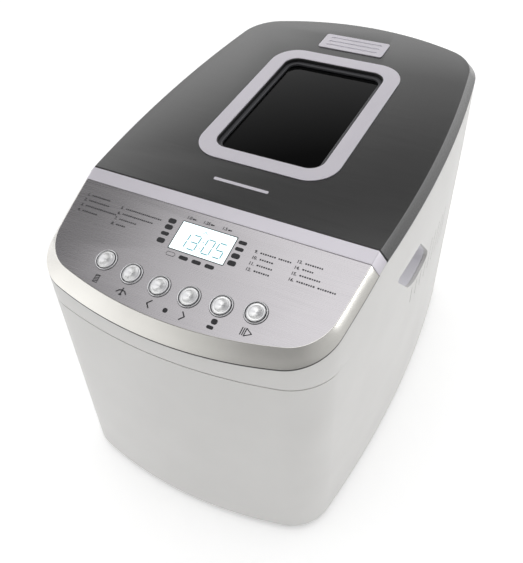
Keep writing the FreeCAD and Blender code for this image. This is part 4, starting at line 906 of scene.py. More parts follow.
@dataclass
class Housing:
    """White moulded housing with its grips, parting line, hinge notch and base."""

    low: float = 5.0 * MM
    draft: float = 2.4 * MM
    draft_top: float = 200.0 * MM
    base_round: float = 4.0 * MM
    wall: float = 3.0 * MM
    wall_levels: tuple[float, ...] = (60 * MM, 120 * MM, 160 * MM)
    lip: float = 8.0 * MM
    rim_round: float = 1.1 * MM
    groove_height: float = 190.0 * MM
    groove_width: float = 0.9 * MM
    groove_depth: float = 0.8 * MM
    groove_fade: tuple[float, float] = (-150.0 * MM, -176.0 * MM)
    grip_top: float = 204.0 * MM
    grip_bottom: float = 163.0 * MM
    grip_front: float = -67.0 * MM
    grip_length: float = 51.0 * MM
    grip_corners: tuple[float, ...] = (3.0 * MM, 4.0 * MM, 6.0 * MM, 40.0 * MM)
    # A corner's rounding takes up at most this share of the edges beside it.
    corner_share: float = 0.9
    grip_start: float = 100.0 * MM
    grip_reach: float = 40.0 * MM
    louvre_first: float = -20.0 * MM
    louvre_pitch: float = 12.0 * MM
    louvre_count: int = 9
    louvre_foot: float = 142.0 * MM
    louvre_width: float = 1.3 * MM
    louvre_depth: float = 1.6 * MM
    # Louvres behind the grip reach above its foot, and those under it stop short of it.
    louvre_clearance: float = 44.0 * MM
    louvre_tall: float = 14.0 * MM
    louvre_short: float = -3.5 * MM
    wall_middle: float = 129.3 * MM
    wall_bow: float = 0.45
    notch_half: float = 76.0 * MM
    notch_foot: float = 252.1 * MM
    inlet_height: float = 45.0 * MM
    inlet_radius: float = 7.2 * MM

    def seam(self, y: float) -> float:
        """Return the height of the housing's top edge at a depth."""
        return (LID_PLANE if y > LID_PLANE.crease_y else PANEL_PLANE).height(y)

    def leaning(self, height: float) -> float:
        """Return how far the drafted wall lies inside the outline at a height."""
        return max(0.0, self.draft * (self.draft_top - height) / (self.draft_top - self.low))

    def groove_ring(self, height: float) -> list[Vector]:
        """Make a ring at the foot of the parting groove, which dies out along the sides.

        Args:
            height: Height of the ring.

        Returns:
            Its points.
        """
        start, full = self.groove_fade
        inset = self.leaning(height)
        outer = OUTLINE.ring(inset)
        deep = OUTLINE.ring(inset + self.groove_depth)
        points = []
        for a, b in zip(outer, deep):
            share = min(1.0, max(0.0, (start - a.y) / (start - full)))
            point = a.lerp(b, share)
            points.append(Vector((point.x, point.y, height)))
        return points

    def flat_ring(self, inset: float, height: float) -> list[Vector]:
        """Return a level ring of the outline moved inwards."""
        return [Vector((p.x, p.y, height)) for p in OUTLINE.ring(inset)]

    def seam_ring(self, inset: float, rise: float) -> list[Vector]:
        """Return a ring that follows the housing's top edge."""
        return [Vector((p.x, p.y, self.seam(p.y) + rise)) for p in OUTLINE.ring(inset)]

    def shell(self) -> BMesh:
        """Build the drafted wall from its foot, over the rim and down the inside."""
        rings = [self.flat_ring(self.draft + self.wall, self.low)]
        for step in range(EDGE_STEPS + 1):
            turn = step / EDGE_STEPS * math.pi / 2
            height = self.low + self.base_round * (1 - math.cos(turn))
            rings.append(self.flat_ring(self.leaning(height) + self.base_round * (1 - math.sin(turn)), height))
        for height in (*self.wall_levels, self.groove_height - 2 * MM, self.groove_height):
            rings.append(self.flat_ring(self.leaning(height), height))
        groove_edge = 0.1 * MM
        rings.append(self.groove_ring(self.groove_height + groove_edge))
        rings.append(self.groove_ring(self.groove_height + self.groove_width))
        top = self.groove_height + self.groove_width + groove_edge
        rings.append(self.flat_ring(self.leaning(top), top))
        rings.append(self.flat_ring(0.0, self.draft_top))
        for step in range(EDGE_STEPS + 1):
            turn = step / EDGE_STEPS * math.pi / 2
            inset = self.rim_round * (1 - math.cos(turn))
            rings.append(self.seam_ring(inset, self.rim_round * (math.sin(turn) - 1)))
        rings.append(self.seam_ring(self.wall, 0.0))
        rings.append(self.seam_ring(self.wall, -self.lip))
        rings.append(self.flat_ring(self.wall, self.draft_top - 4 * MM))
        return ringed_form(rings, tube=True)

    def leaning_opening(self, side: int, depth: float) -> BMesh:
        """Build the leaning, round-cornered block that opens one grip.

        Args:
            side: 1 for the right, -1 for the left.
            depth: How far across from the middle the block starts.

        Returns:
            The block.
        """
        rise = self.grip_top - self.grip_bottom
        corners = [
            (self.grip_front, self.grip_top),
            (self.grip_front + self.grip_length, self.grip_top),
            (self.grip_front + self.grip_length + rise, self.grip_bottom),
            (self.grip_front + rise, self.grip_bottom),
        ]
        bm = bmesh.new()
        verts = [bm.verts.new((side * depth, y, z)) for y, z in corners]
        bmesh.ops.contextual_create(bm, geom=verts)
        for index, radius in enumerate(self.grip_corners):
            bm.verts.ensure_lookup_table()
            place = Vector((side * depth, *corners[index]))
            vert = min(bm.verts, key=lambda v: (v.co - place).length)
            before, after = (edge.other_vert(vert).co - vert.co for edge in vert.link_edges)
            longest = self.corner_share * min(before.length, after.length)
            setback = min(radius / math.tan(before.angle(after) / 2), longest)
            bmesh.ops.bevel(
                bm, geom=[vert], offset=setback, segments=8, profile=0.5, affect="VERTICES", material=-1
            )
        return swept(bm, (side * self.grip_reach, 0, 0))

    def louvre_cutters(self, side: int) -> list[BMesh]:
        """Build the upright cuts of the cooling louvres on one side.

        Args:
            side: 1 for the right, -1 for the left.

        Returns:
            One box for each cut.
        """
        cutters = []
        for index in range(self.louvre_count):
            y = self.louvre_first + index * self.louvre_pitch
            clear = y > self.grip_front + self.grip_length + self.louvre_clearance
            head = self.grip_bottom + (self.louvre_tall if clear else self.louvre_short)
            across = self.wall_middle - self.wall_bow * y * y
            depth = sorted((side * (across - self.louvre_depth), side * (across + THROUGH)))
            cutters.append(box((depth[0], y, self.louvre_foot), (depth[1], y + self.louvre_width, head)))
        return cutters

    def build(self) -> None:
        """Build, cut and dress the housing."""
        shell = as_object("housing", self.shell())
        notch_front, notch_back, notch_top = 160 * MM, 220 * MM, self.notch_foot + 60 * MM
        notch = box((-self.notch_half, notch_front, self.notch_foot), (self.notch_half, notch_back, notch_top))
        radius, reach = self.inlet_radius, 30 * MM
        inlet = turned([(0, -reach), (radius, -reach), (radius, reach), (0, reach)])
        moved(inlet, Matrix.Translation((0, 195 * MM, self.inlet_height)) @ Matrix.Rotation(math.pi / 2, 4, "X"))
        cutters = [notch, inlet]
        for side in (1, -1):
            cutters.append(self.leaning_opening(side, self.grip_start))
            cutters.extend(self.louvre_cutters(side))
        carve(shell, cutters)
        dress(shell, WHITE_ABS, Body.BASE, ("body_shell",))
        soften(shell, 0.7 * MM, segments=2, angle=50)


# ---- lid


@dataclass
class Lid:
    """Hinged lid: dark steel skin, silver window frame, smoked pane and steam vent."""

    gap: float = 0.8 * MM
    front: float = -91.5 * MM
    sheet: float = 1.2 * MM
    side_run: float = 6.3 * MM
    edge: float = 0.9 * MM
    window_half: float = 62.0 * MM
    window_front: float = 48.0 * MM
    window_back: float = 223.4 * MM
    window_corner: float = 25.0 * MM
    frame_lap: float = 4.0 * MM
    border: float = 14.0 * MM
    inner_corner: float = 13.0 * MM
    proud: float = 1.0 * MM
    glass_depth: float = 5.2 * MM
    glass_thickness: float = 3.1 * MM
    vent_half_x: float = 31.7 * MM
    vent_half_y: float = 12.4 * MM
    vent_middle: float = 248.0 * MM
    slot_pitch: float = 6.6 * MM
    slot_count: int = 3
    slot_half: float = 1.2 * MM
    hinge_half: float = 82.0 * MM
    badge_middle: float = 25.3 * MM
    badge_half_x: float = 23.5 * MM
    badge_half_y: float = 1.5 * MM

    def frame_plate(self, grow: float, low: float, high: float) -> BMesh:
        """Return a plate as large as the window frame, moved outwards by a distance."""
        front, back = self.window_front - grow, self.window_back + grow
        return plate(self.window_half + grow, front, back, self.window_corner + grow, low, high)

    def opening_plate(self, grow: float, low: float, high: float) -> BMesh:
        """Return a plate as large as the clear window, moved outwards by a distance."""
        half_x = self.window_half - self.border + grow
        front, back = self.window_front + self.border - grow, self.window_back - self.border + grow
        return plate(half_x, front, back, self.inner_corner + grow, low, high)

    def vent_plate(self, inset: float, corner: float, low: float, high: float) -> BMesh:
        """Return a plate as large as the vent, moved inwards by a distance."""
        front = self.vent_middle - self.vent_half_y + inset
        back = self.vent_middle + self.vent_half_y - inset
        return plate(self.vent_half_x - inset, front, back, corner, low, high)

    def build_skin(self) -> None:
        """Build the steel skin as a sheet with sloping sides and the two openings."""
        bm = ringed_form(capped_rings(LID_PLANE, self.gap, self.side_run, self.side_run, self.edge))
        clip(bm, self.front, keep_behind=True)
        slack = 0.05 * MM
        open_side = [
            face
            for face in bm.faces
            if all(abs(vert.co.z - LID_PLANE.height(vert.co.y, self.gap)) < slack for vert in face.verts)
        ]
        bmesh.ops.delete(bm, geom=open_side, context="FACES_ONLY")
        bmesh.ops.solidify(bm, geom=list(bm.faces), thickness=self.sheet)
        skin = as_object("lid_steel_skin", bm)
        window = self.frame_plate(-self.frame_lap, -THROUGH, THROUGH)
        vent = self.vent_plate(2 * MM, 1.5 * MM, -THROUGH, THROUGH)
        carve(skin, [moved(cutter, LID_PLANE.place()) for cutter in (window, vent)])
        dress(skin, DARK_STEEL, Body.LID, ("lid_skin",), sharp=30)

    def build_window(self) -> None:
        """Build the silver frame, its black inner lip, the step below it and the outer pane."""
        glass_top = -self.glass_depth
        rim = self.frame_plate(0, 0, self.proud)
        hole = self.opening_plate(0, -THROUGH, THROUGH)
        rim = stand("window_frame", rim, LID_PLANE, SILVER_LACQUER, "silver_trim", ("window_bezel",), hole)
        soften(rim, 0.7 * MM, segments=4)
        lip = self.opening_plate(0.9 * MM, glass_top, 0.35 * MM)
        hole = self.opening_plate(-1.0 * MM, -THROUGH, THROUGH)
        lip = stand("window_inner_lip", lip, LID_PLANE, BLACK_ABS_AND_GAP_SHADOW, "component_black", (), hole)
        soften(lip, 0.4 * MM)
        step = self.opening_plate(2.6 * MM, glass_top - 0.1 * MM, -2.6 * MM)
        hole = self.opening_plate(-4.2 * MM, -THROUGH, THROUGH)
        step = stand("window_step", step, LID_PLANE, DARK_ABS, "liner_grey", (), hole)
        soften(step, 0.9 * MM, segments=4)
        pane = self.opening_plate(2.5 * MM, glass_top - self.glass_thickness, glass_top)
        pane = stand("window_pane", pane, LID_PLANE, GLASS, "window_clear", ("window_glass",))
        soften(pane, 0.4 * MM)

    def build_vent(self) -> None:
        """Build the slotted vent plate and the pale throat under it."""
        cover = self.vent_plate(0, 2.5 * MM, 0.02 * MM, 1.0 * MM)
        slot_half_x, slot_corner = self.vent_half_x - 6.5 * MM, 1.15 * MM
        slots = []
        for index in range(self.slot_count):
            middle = self.vent_middle + (index - (self.slot_count - 1) / 2) * self.slot_pitch
            front, back = middle - self.slot_half, middle + self.slot_half
            slots.append(plate(slot_half_x, front, back, slot_corner, -THROUGH, THROUGH))
        cover = stand("vent_grille", cover, LID_PLANE, SILVER_LACQUER, "silver_trim", ("steam_vent",), *slots)
        soften(cover, 0.35 * MM)
        throat = self.vent_plate(2.4 * MM, 1.2 * MM, -3.6 * MM, 0.02 * MM)
        stand("vent_throat", throat, LID_PLANE, PALE_ABS_PAINTED_LIGHT, "silver_trim")

    def build_badge(self) -> None:
        """Build the plain bright bar on the front of the lid."""
        front, back = self.badge_middle - self.badge_half_y, self.badge_middle + self.badge_half_y
        badge = plate(self.badge_half_x, front, back, 1.0 * MM, -0.1 * MM, 0.35 * MM)
        badge = stand("lid_badge_bar", badge, LID_PLANE, SILVER_LACQUER, "silver_trim")
        soften(badge, 0.2 * MM, segments=2)

    def build_gap_shadow(self) -> None:
        """Build the dark bead on the housing's rim, which the lid comes down on, open at the hinge: a painted shadow
        line in the gap.
        """
        shadow_line = as_object("lid_gap_painted_shadow", gap_shadow_bead(LID_PLANE, self.gap, self.front, keep_behind=True))
        half, front, back, low, high = self.hinge_half, 150 * MM, 220 * MM, 200 * MM, 300 * MM
        carve(shadow_line, [box((-half, front, low), (half, back, high))])
        dress(shadow_line, BLACK_ABS_AND_GAP_SHADOW, Body.BASE)

    def build(self) -> None:
        """Build every piece of the lid."""
        self.build_skin()
        self.build_window()
        self.build_vent()
        self.build_badge()
        self.build_gap_shadow()


# ---- control panel


@dataclass
class ControlPanel:
    """Sloping control fascia with its display, buttons, printed symbols and bridge trim."""

    gap: float = 0.6 * MM
    back: float = -104.6 * MM
    side_run: float = 6.3 * MM
    front_run: float = 10.2 * MM
    edge: float = 1.0 * MM
    bridge_back: float = -92.7 * MM
    bridge_front: float = -104.0 * MM
    filler_back: float = -91.3 * MM
    display_half: float = 23.0 * MM
    display_back: float = -21.8 * MM
    display_front: float = -46.4 * MM
    button_pitch: float = 24.69 * MM
    button_row: float = -77.1 * MM
    button_sag: float = 1.48
    button_count: int = 6
    ring_outer: float = 8.5 * MM
    ring_inner: float = 7.5 * MM
    cap_radius: float = 6.9 * MM
    cap_top: float = 1.5 * MM
    cap_round: float = 0.8 * MM
    ink: float = 0.04 * MM
    ink_foot: float = 0.02 * MM

    def button_places(self) -> list[Point]:
        """Return where each button stands on the panel, across and along it."""
        places = []
        for index in range(self.button_count):
            across = self.button_pitch * (index - (self.button_count - 1) / 2)
            places.append((across, self.button_row + self.button_sag * across * across))
        return places

    def display_plate(self, grow: float, corner: float, low: float, high: float) -> BMesh:
        """Return a plate as large as the display, moved outwards by a distance."""
        front, back = self.display_front - grow, self.display_back + grow
        return plate(self.display_half + grow, front, back, corner, low, high)

    def build_fascia(self) -> None:
        """Build the fascia as one form with sloping edges, button holes and the display opening."""
        bm = ringed_form(capped_rings(PANEL_PLANE, self.gap, self.side_run, self.front_run, self.edge))
        clip(bm, self.back, keep_behind=False)
        fascia = as_object("fascia_plate", bm)
        clearance, foot, head = 0.3 * MM, -3 * MM, 9 * MM
        radius = self.ring_outer + clearance
        cutters = []
        for across, along in self.button_places():
            hole = turned([(0, foot), (radius, foot), (radius, head), (0, head)])
            cutters.append(moved(hole, Matrix.Translation((across, along, 0))))
        cutters.append(self.display_plate(clearance, 0.8 * MM, foot, head))
        carve(fascia, [moved(cutter, PANEL_PLANE.place()) for cutter in cutters])
        dress(fascia, FASCIA_STEEL, Body.BASE, ("control_fascia",), sharp=30)
        # The sloping edge faces that look upwards get the paler steel: a painted highlight.
        fascia.data.materials.append(PAINTED_HIGHLIGHT_EDGE.material())
        facing = PANEL_PLANE.place().to_3x3() @ Vector((0, 0, 1))
        edge_lean, least_upward = math.radians(6), 0.1
        for face in fascia.data.polygons:
            if face.normal.angle(facing) > edge_lean and face.normal.z > least_upward:
                face.material_index = 1

    def build_bridge(self) -> None:
        """Build the silver strip between the fascia and the lid."""
        bm = ringed_form(capped_rings(PANEL_PLANE, 0.2 * MM, self.side_run, self.side_run, self.edge))
        clip(bm, self.bridge_back, keep_behind=False)
        clip(bm, self.bridge_front, keep_behind=True)
        strip = as_object("bridge_strip", bm)
        dress(strip, SILVER_LACQUER, Body.BASE, ("bridge_trim",), sharp=30)
        soften(strip, 0.6 * MM, angle=60)

    def build_joint_shadows(self) -> None:
        """Build the dark fillers in the joints on both sides of the bridge strip: painted shadow in the gaps."""
        lap, sunk = 0.3 * MM, Matrix.Translation((0, 0, -0.35 * MM))
        run = self.side_run + lap
        fillers = []
        for front, back in ((self.back, self.bridge_front + lap), (self.bridge_back, self.filler_back)):
            bm = ringed_form(capped_rings(PANEL_PLANE, 0.1 * MM, run, run, self.edge))
            clip(bm, back, keep_behind=False)
            clip(bm, front - lap, keep_behind=True)
            fillers.append(moved(bm, sunk))
        joints = as_object("bridge_gap_painted_shadow", merge(fillers))
        dress(joints, BLACK_ABS_AND_GAP_SHADOW, Body.BASE, sharp=30)

    def build_gap_shadow(self) -> None:
        """Build the dark line in the gap under the fascia's edge: painted shadow."""
        shadow_line = as_object("fascia_gap_painted_shadow", gap_shadow_bead(PANEL_PLANE, self.gap, self.back, keep_behind=False))
        dress(shadow_line, BLACK_ABS_AND_GAP_SHADOW, Body.BASE)

    def build_buttons(self) -> None:
        """Build the six spun caps, their silver rings and the dark wells round them."""
        inner, outer = self.ring_inner, self.ring_outer
        middle, half = (inner + outer) / 2, (outer - inner) / 2
        ring_foot, shoulder, crown = -1.2 * MM, 0.5 * MM, 1.15 * MM
        ring = [(inner, ring_foot), (outer, ring_foot), (outer, shoulder)]
        for step in range(7):
            turn = step / 6 * math.pi
            ring.append((middle + half * math.cos(turn), shoulder + (crown - shoulder) * math.sin(turn)))
        ring.append((inner, 0.4 * MM))
        well_rim, well_floor = -0.25 * MM, -3.8 * MM
        beyond, under = outer + 0.28 * MM, well_floor - 1 * MM
        well = [(0, under), (beyond, under), (beyond, well_rim), (outer, well_rim), (outer, well_floor)]
        well.append((0, well_floor))
        rings, wells = [], []
        for index, (across, along) in enumerate(self.button_places()):
            place = PANEL_PLANE.place() @ Matrix.Translation((across, along, 0))
            self.build_cap(f"{index + 1}", place)
            rings.append(moved(turned(ring), place))
            wells.append(moved(turned(well), place))
        dress(as_object("button_bezels", merge(rings)), RING_METAL, Body.BASE, ("button_rings",))
        dress(as_object("button_wells", merge(wells)), BLACK_ABS_AND_GAP_SHADOW, Body.BASE)

    def build_cap(self, number: str, place: Matrix) -> None:
        """Build one button cap: a rounded rim round a shallow spun dish.

        Args:
            number: Its number, from 1 at the left.
            place: Where it stands.
        """
        rim, top, rounding = self.cap_radius, self.cap_top, self.cap_round
        foot, dish = -1.1 * MM, self.cap_radius - 2.0 * MM
        profile = [(0, foot), (rim, foot), (rim, top - rounding)]
        for step in range(1, 6):
            turn = step / 6 * math.pi / 2
            profile.append((rim - rounding * (1 - math.cos(turn)), top - rounding * (1 - math.sin(turn))))
        profile += [(rim - rounding, top), (dish + 0.35 * MM, top), (dish, top - 0.12 * MM)]
        profile += [(dish - 0.4 * MM, top - 0.4 * MM), (0, top - 0.55 * MM)]
        bm = turned(profile)
        layer = bm.loops.layers.uv.new(TURNING_MAP)
        for face in bm.faces:
            for loop in face.loops:
                loop[layer].uv = (loop.vert.co.x / MM, loop.vert.co.y / MM)
        cap, node = as_object(f"button_cap_{number}", moved(bm, place)), f"button_{number}"
        dress(cap, SPUN_CAPS, Body(node), (node,), sharp=40)

    def build_display(self) -> None:
        """Build the lit display face, its dark surround and the digits."""
        surround = self.display_plate(0.25 * MM, 0.8 * MM, -2 * MM, 0.12 * MM)
        hole = self.display_plate(-0.35 * MM, 0.5 * MM, -1 * MM, 9 * MM)
        stand("display_surround", surround, PANEL_PLANE, BLACK_ABS_AND_GAP_SHADOW, "component_black", (), hole)
        face = self.display_plate(-0.4 * MM, 0.4 * MM, -1.0 * MM, 0.02 * MM)
        stand("display_face", face, PANEL_PLANE, LCD_GLOW, "display_clear", ("display_window",))
        segments = as_object("display_segments", moved(merge(self.digit_bars()), PANEL_PLANE.place()))
        dress(segments, DIGIT_INK, Body.BASE)

    # The methods below lay out print in millimetres across and along the panel.

    def bar(self, a: Point, b: Point, width: float) -> BMesh:
        """Build one thin printed bar with rounded ends.

        Args:
            a: Its start.
            b: Its end.
            width: Its width.

        Returns:
            The bar.
        """
        start, end, thin = Vector(a) * MM, Vector(b) * MM, width * MM
        run, middle = end - start, (start + end) / 2
        half_length, low = (run.length + thin * 0.6) / 2, self.ink_foot
        bm = plate(half_length, -thin / 2, thin / 2, thin * 0.3, low, low + self.ink)
        turn = Matrix.Rotation(math.atan2(run.y, run.x), 4, "Z")
        return moved(bm, Matrix.Translation((middle.x, middle.y, 0)) @ turn)

    def stroke(self, at: Point, corners: list[Point], width: float, closed: bool = False) -> list[BMesh]:
        """Build a run of bars from corner to corner.

        Args:
            at: Where the run's own origin lies.
            corners: The corners, from that origin.
            width: Width of the bars.
            closed: True to join the last corner to the first.

        Returns:
            The bars.
        """
        placed = [(at[0] + x, at[1] + y) for x, y in corners]
        if closed:
            placed.append(placed[0])
        return [self.bar(a, b, width) for a, b in zip(placed, placed[1:])]

    def pill(self, across: float, along: float, wide: float, tall: float) -> BMesh:
        """Build a solid printed pill.

        Args:
            across: Its middle across the panel.
            along: Its middle along the panel.
            wide: Its length across.
            tall: Its height along.

        Returns:
            The pill.
        """
        low, corner = self.ink_foot, min(tall, wide) * 0.42 * MM
        bm = plate(wide / 2 * MM, -tall / 2 * MM, tall / 2 * MM, corner, low, low + self.ink)
        return moved(bm, Matrix.Translation((across * MM, along * MM, 0)))

    def number(self, text: str, across: float, along: float, tall: float = 2.5) -> BMesh:
        """Build a printed number as a thin mesh.

        Args:
            text: Digits and points only.
            across: Its left end.
            along: Its baseline.
            tall: Height of the digits.

        Returns:
            The mesh.
        """
        curve = bpy.data.curves.new("number", "FONT")
        curve.body = text
        curve.size = tall * 1.4 * MM
        curve.extrude = self.ink / 2
        curve.offset = 0.09 * MM
        item = bpy.data.objects.new("number", curve)
        mesh = bpy.data.meshes.new_from_object(item)
        bm = bmesh.new()
        bm.from_mesh(mesh)
        bpy.data.objects.remove(item)
        bpy.data.curves.remove(curve)
        bpy.data.meshes.remove(mesh)
        return moved(bm, Matrix.Translation((across * MM, along * MM, 0.05 * MM)))

    def digit_bars(self) -> list[BMesh]:
        """Build the seven-segment digits of the time shown, their colon and the arrow over them."""
        lit = {"1": "bc", "3": "abgcd", "0": "abcdef", "5": "afgcd"}
        places = (("1", -18.5), ("3", -9.5), ("0", 2.4), ("5", 11.8))
        ends = {
            "a": ((0, 1), (1, 1)),
            "b": ((1, 1), (1, 0.5)),
            "c": ((1, 0.5), (1, 0)),
            "d": ((0, 0), (1, 0)),
            "e": ((0, 0), (0, 0.5)),
            "f": ((0, 0.5), (0, 1)),
            "g": ((0, 0.5), (1, 0.5)),
        }
        wide, tall, lean, shortened = 6.2, 12.2, 0.06, 0.12
        foot = self.display_front / MM + 3.8
        bars = []
        for digit, left in places:
            for segment in lit[digit]:
                a, b = (Vector((left + x * wide + lean * y * tall, foot + y * tall)) for x, y in ends[segment])
                bars.append(self.bar(tuple(a.lerp(b, shortened)), tuple(b.lerp(a, shortened)), 0.9))
        for y in (foot + 3.4, foot + 8.6):
            bars.append(self.bar((0.1, y), (0.5, y), 0.8))
        return bars + self.stroke((0.0, foot), [(-3.2, 15.6), (-1.6, 17.0), (0.0, 15.6)], 0.5)

    def print_lists(self) -> list[BMesh]:
        """Print the four programme lists: a number and a row of short dashes for its words."""
        columns = ((-110.0, -24.6, 1), (-76.5, -27.0, 5), (39.5, -28.2, 9), (71.0, -25.6, 13))
        rows, row_pitch, tallest, dash_gap, word_gap = 4, 4.9, 1.25, 1.3, 1.6
        words = [(19.0,), (21.0,), (31.0,), (14.0,), (35.0,), (29.0,), (16.0,), (8.5,)]
        words += [(13.5, 11.0), (11.0,), (12.5,), (13.0,), (14.5,), (9.5,), (17.5,), (15.0, 14.5)]
        pieces = []
        for left, top, first in columns:
            for row in range(rows):
                along, value = top - row * row_pitch, first + row
                pieces.append(self.number(f"{value}.", left, along - 1.1))
                x = left + (6.6 if value > 9 else 4.8)
                for length in words[value - 1]:
                    end = x + 0.93 * length
                    while x < end - 0.7:
                        dash = 0.45 + 0.25 * math.sin(x * 5.1 + value)
                        pieces.append(self.bar((x, along), (x + dash, along), tallest))
                        x += dash + dash_gap
                    x += word_gap
        return pieces

    def print_pills(self) -> list[BMesh]:
        """Print the round-ended option marks beside and below the display."""
        left, right, below, beside_wide = -31.2, 28.2, -50.6, 6.6
        thick, thin = 4.2, 3.0
        rows = ((-24.9, thick, thin), (-30.5, thick, thin), (-36.4, thin, thick), (-42.6, thick, thick))
        pieces = []
        for along, left_tall, right_tall in rows:
            pieces.append(self.pill(left, along, beside_wide, left_tall))
            pieces.append(self.pill(right, along, beside_wide, right_tall))
        x, y, cut = 3.6, 1.5, 1.0
        corners = [(-x + cut, -y), (x - cut, -y), (x, -y + cut), (x, y - cut)]
        corners += [(-a, -b) for a, b in corners]
        pieces.extend(self.stroke((-18.2, below), corners, 0.35, closed=True))
        pieces.extend(self.pill(across, below, 7.4, 3.1) for across in (-7.3, 3.5, 14.3))
        return pieces

    def print_marks(self) -> list[BMesh]:
        """Print the weight marks over the display and the symbols under the buttons."""
        baseline, unit_middle = -19.2, -18.4
        pieces = []
        for text, left in (("1.0", -22.0), ("1.25", -8.0), ("1.5", 8.0)):
            pieces.append(self.number(text, left, baseline))
            tail = left + (5.4 if len(text) == 3 else 6.9)
            pieces.append(self.bar((tail, unit_middle), (tail + 0.8, unit_middle), 1.3))
            pieces.append(self.bar((tail + 1.6, unit_middle), (tail + 2.3, unit_middle), 1.0))
        pieces.extend(self.hatched_loaf((-60.7, -87.4)))
        pieces.extend(self.scale_mark((-36.6, -90.2)))
        for across, way in ((-12.6, 1), (14.9, -1)):
            for end in (3.1, -3.1):
                pieces.extend(self.stroke((across, -91.6), [(-way * 1.6, 0), (way * 1.2, end)], 0.95))
        pieces.append(self.pill(1.2, -92.0, 3.6, 3.6))
        pieces.append(self.pill(38.0, -87.4, 4.6, 4.2))
        pieces.append(self.pill(37.0, -92.2, 5.2, 2.6))
        pieces.extend(self.start_mark((61.9, -86.8)))
        return pieces

    def hatched_loaf(self, at: Point) -> list[BMesh]:
        """Print a small upright block of slanting lines.

        Args:
            at: Where the symbol's own origin lies.

        Returns:
            Its bars.
        """
        pieces = self.stroke(at, [(-1.7, -3.0), (1.7, -3.0), (1.7, 3.0), (-1.7, 3.0)], 0.5, closed=True)
        for row in range(4):
            low = -2.4 + row * 1.4
            pieces.extend(self.stroke(at, [(-1.4, low), (1.4, low + 0.9)], 0.6))
        return pieces

    def scale_mark(self, at: Point) -> list[BMesh]:
        """Print a small balance: a bowed beam on an upright stem.

        Args:
            at: Where the symbol's own origin lies.

        Returns:
            Its bars.
        """
        beam = [(-4.2, -1.2), (-2.4, 0.7), (0.0, 1.3), (2.4, 0.7), (4.2, -1.2)]
        stem = self.stroke(at, [(0.0, -2.4), (0.0, 3.0)], 1.0)
        return self.stroke(at, beam, 0.9) + stem + [self.pill(at[0], at[1] - 2.4, 2.6, 1.2)]

    def start_mark(self, at: Point) -> list[BMesh]:
        """Print two uprights and a triangle that points right.

        Args:
            at: Where the symbol's own origin lies.

        Returns:
            Its bars.
        """
        pieces = []
        for x in (-3.6, -2.1):
            pieces.extend(self.stroke(at, [(x, -2.7), (x, 2.7)], 0.75))
        return pieces + self.stroke(at, [(-0.7, -2.9), (4.0, 0.0), (-0.7, 2.9)], 0.7, closed=True)

    def build_print(self) -> None:
        """Print everything on the fascia as one thin piece."""
        pieces = self.print_lists() + self.print_pills() + self.print_marks()
        item = as_object("fascia_print", moved(merge(pieces), PANEL_PLANE.place()))
        dress(item, INK, Body.BASE)

    def build(self) -> None:
        """Build every piece of the panel."""
        self.build_fascia()
        self.build_bridge()
        self.build_joint_shadows()
        self.build_gap_shadow()
        self.build_buttons()
        self.build_display()
        self.build_print()


# ---- studio


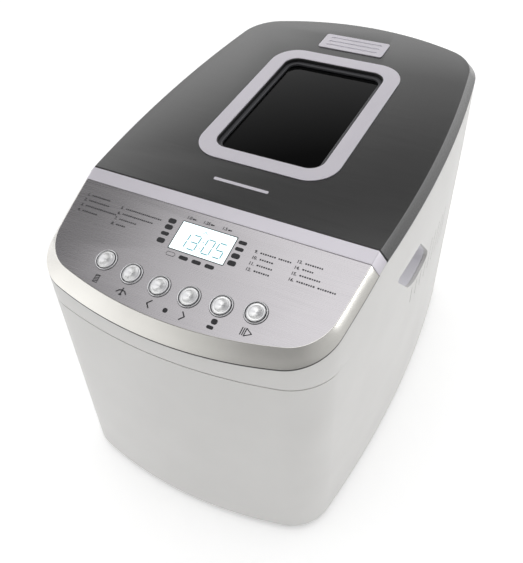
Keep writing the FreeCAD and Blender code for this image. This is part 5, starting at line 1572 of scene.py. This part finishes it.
@dataclass
class Studio:
    """Camera, white floor, sky and soft light."""

    azimuth: float = 29.4926
    elevation: float = 42.4282
    roll: float = -2.4216
    distance: float = 690.72 * MM
    target: tuple[float, float, float] = (-25.94 * MM, 3.39 * MM, 84.94 * MM)
    lens: float = 44.118
    sensor: float = 36.0
    floor_radius: float = 40.0
    floor_facets: int = 96
    # Brightness of the sky at each height, from the horizon at 0 to overhead at 1.
    sky: tuple[Point, ...] = (
        (0.0, 0.62), (0.49, 0.8), (0.58, 0.36), (0.66, 0.08), (0.75, 0.03), (0.81, 0.26), (0.9, 0.8), (0.97, 1.0)
    )
    sky_power: float = 1.6
    front_share: float = 0.3
    softbox_spot: tuple[float, float, float] = (1.9, 0.4, 0.14)
    softbox_aim: tuple[float, float, float] = (0, 0, 0.15)
    softbox_size: Point = (1.2, 0.28)
    softbox_power: float = 3.4

    def build_camera(self) -> None:
        """Place the camera with its slight roll."""
        turn, tilt, lean = (math.radians(angle) for angle in (self.azimuth, self.elevation, self.roll))
        back = Vector((math.sin(turn) * math.cos(tilt), -math.cos(turn) * math.cos(tilt), math.sin(tilt)))
        right = Vector((math.cos(turn), math.sin(turn), 0))
        up = back.cross(right)
        side = right * math.cos(lean) + up * math.sin(lean)
        top = -right * math.sin(lean) + up * math.cos(lean)
        data = bpy.data.cameras.new("camera")
        data.lens = self.lens
        data.sensor_width = self.sensor
        data.sensor_fit = "AUTO"
        data.clip_start = 0.01
        data.clip_end = 50.0
        item = bpy.data.objects.new("camera", data)
        basis = Matrix((side, top, back)).transposed().to_4x4()
        item.matrix_world = Matrix.Translation(Vector(self.target) + back * self.distance) @ basis
        bpy.context.scene.collection.objects.link(item)
        bpy.context.scene.camera = item

    def build_floor(self) -> None:
        """Lay the white floor, which glows a little as a lit sweep does."""
        bm = bmesh.new()
        bmesh.ops.create_circle(bm, cap_ends=True, segments=self.floor_facets, radius=self.floor_radius)
        floor = as_object("floor", bm)
        floor.data.materials.append(FLOOR_SWEEP.material())

    def build_softbox(self) -> None:
        """Hang the low softbox on the right."""
        data = bpy.data.lights.new("right_softbox", "AREA")
        data.shape = "RECTANGLE"
        data.size, data.size_y = self.softbox_size
        data.energy = self.softbox_power
        item = bpy.data.objects.new("right_softbox", data)
        spot, aim = Vector(self.softbox_spot), Vector(self.softbox_aim)
        turn = (aim - spot).to_track_quat("-Z", "Y").to_matrix().to_4x4()
        item.matrix_world = Matrix.Translation(spot) @ turn
        bpy.context.scene.collection.objects.link(item)

    def build_world(self) -> None:
        """Fill the studio with light that falls from a bright horizon to a dim ceiling.

        Low down, the front is dimmer than the back, the left and the right.
        """
        world = bpy.data.worlds.new("studio")
        world.use_nodes = True
        tree = world.node_tree
        tree.nodes.clear()
        way = add_node(tree, "TexCoord").outputs["Generated"]
        split = add_node(tree, "SeparateXYZ", {0: way})
        ramp = add_node(tree, "ValToRGB", {"Fac": split.outputs["Z"]})
        set_ramp(ramp, [(height, (value, value, value, 1.0)) for height, value in self.sky])
        away = add_node(tree, "VectorMath", {0: way, 1: (-0.5, 0.87, 0.0)}, operation="DOT_PRODUCT")
        back, across = away.outputs["Value"], split.outputs["X"]
        shares = []
        for value, start, end, most in ((back, -0.3, 0.5, 1.0), (across, -0.1, -0.7, 1.1), (across, 0.45, 1.0, 0.55)):
            limits = {"From Min": start, "From Max": end, "To Min": self.front_share, "To Max": most}
            shares.append(add_node(tree, "MapRange", {"Value": value} | limits).outputs[0])
        sides = add_node(tree, "Math", {0: shares[1], 1: shares[2]}, operation="MAXIMUM")
        around = add_node(tree, "Math", {0: shares[0], 1: sides.outputs[0]}, operation="MAXIMUM")
        high = add_node(tree, "MapRange", {"Value": split.outputs["Z"], "From Min": 0.45, "From Max": 0.7})
        share = add_node(tree, "Mix", {0: high.outputs[0], 2: around.outputs[0], 3: 1.0}, data_type="FLOAT")
        power = add_node(tree, "Math", {0: share.outputs[0], 1: self.sky_power}, operation="MULTIPLY")
        light = add_node(tree, "Background", {"Color": ramp.outputs[0], "Strength": power.outputs[0]})
        add_node(tree, "OutputWorld", {"Surface": light.outputs[0]})
        bpy.context.scene.world = world

    def build(self) -> None:
        """Set up the whole studio."""
        self.build_camera()
        self.build_floor()
        self.build_world()
        self.build_softbox()
        bpy.context.scene.view_settings.view_transform = "Standard"


def finish_cad_nodes() -> None:
    """Give every CAD node the finish of its material slot."""
    slots = {part["node"]: part["material_slot"] for part in frame["record"]["subparts"]}
    for name, item in frame["nodes"].items():
        material = CAD_FINISHES[slots[name]].material()
        if not item.material_slots:
            item.data.materials.append(material)
        for slot in item.material_slots:
            # The grip scoops get the paler plastic: painted light against the shade inside them.
            slot.material = PALE_ABS_PAINTED_LIGHT.material() if name == "grip_cups" else material


def main() -> None:
    """Build the machine's visible pieces in order, then the studio."""
    finish_cad_nodes()
    Housing().build()
    Lid().build()
    ControlPanel().build()
    Studio().build()


if __name__ == "__main__":
    main()
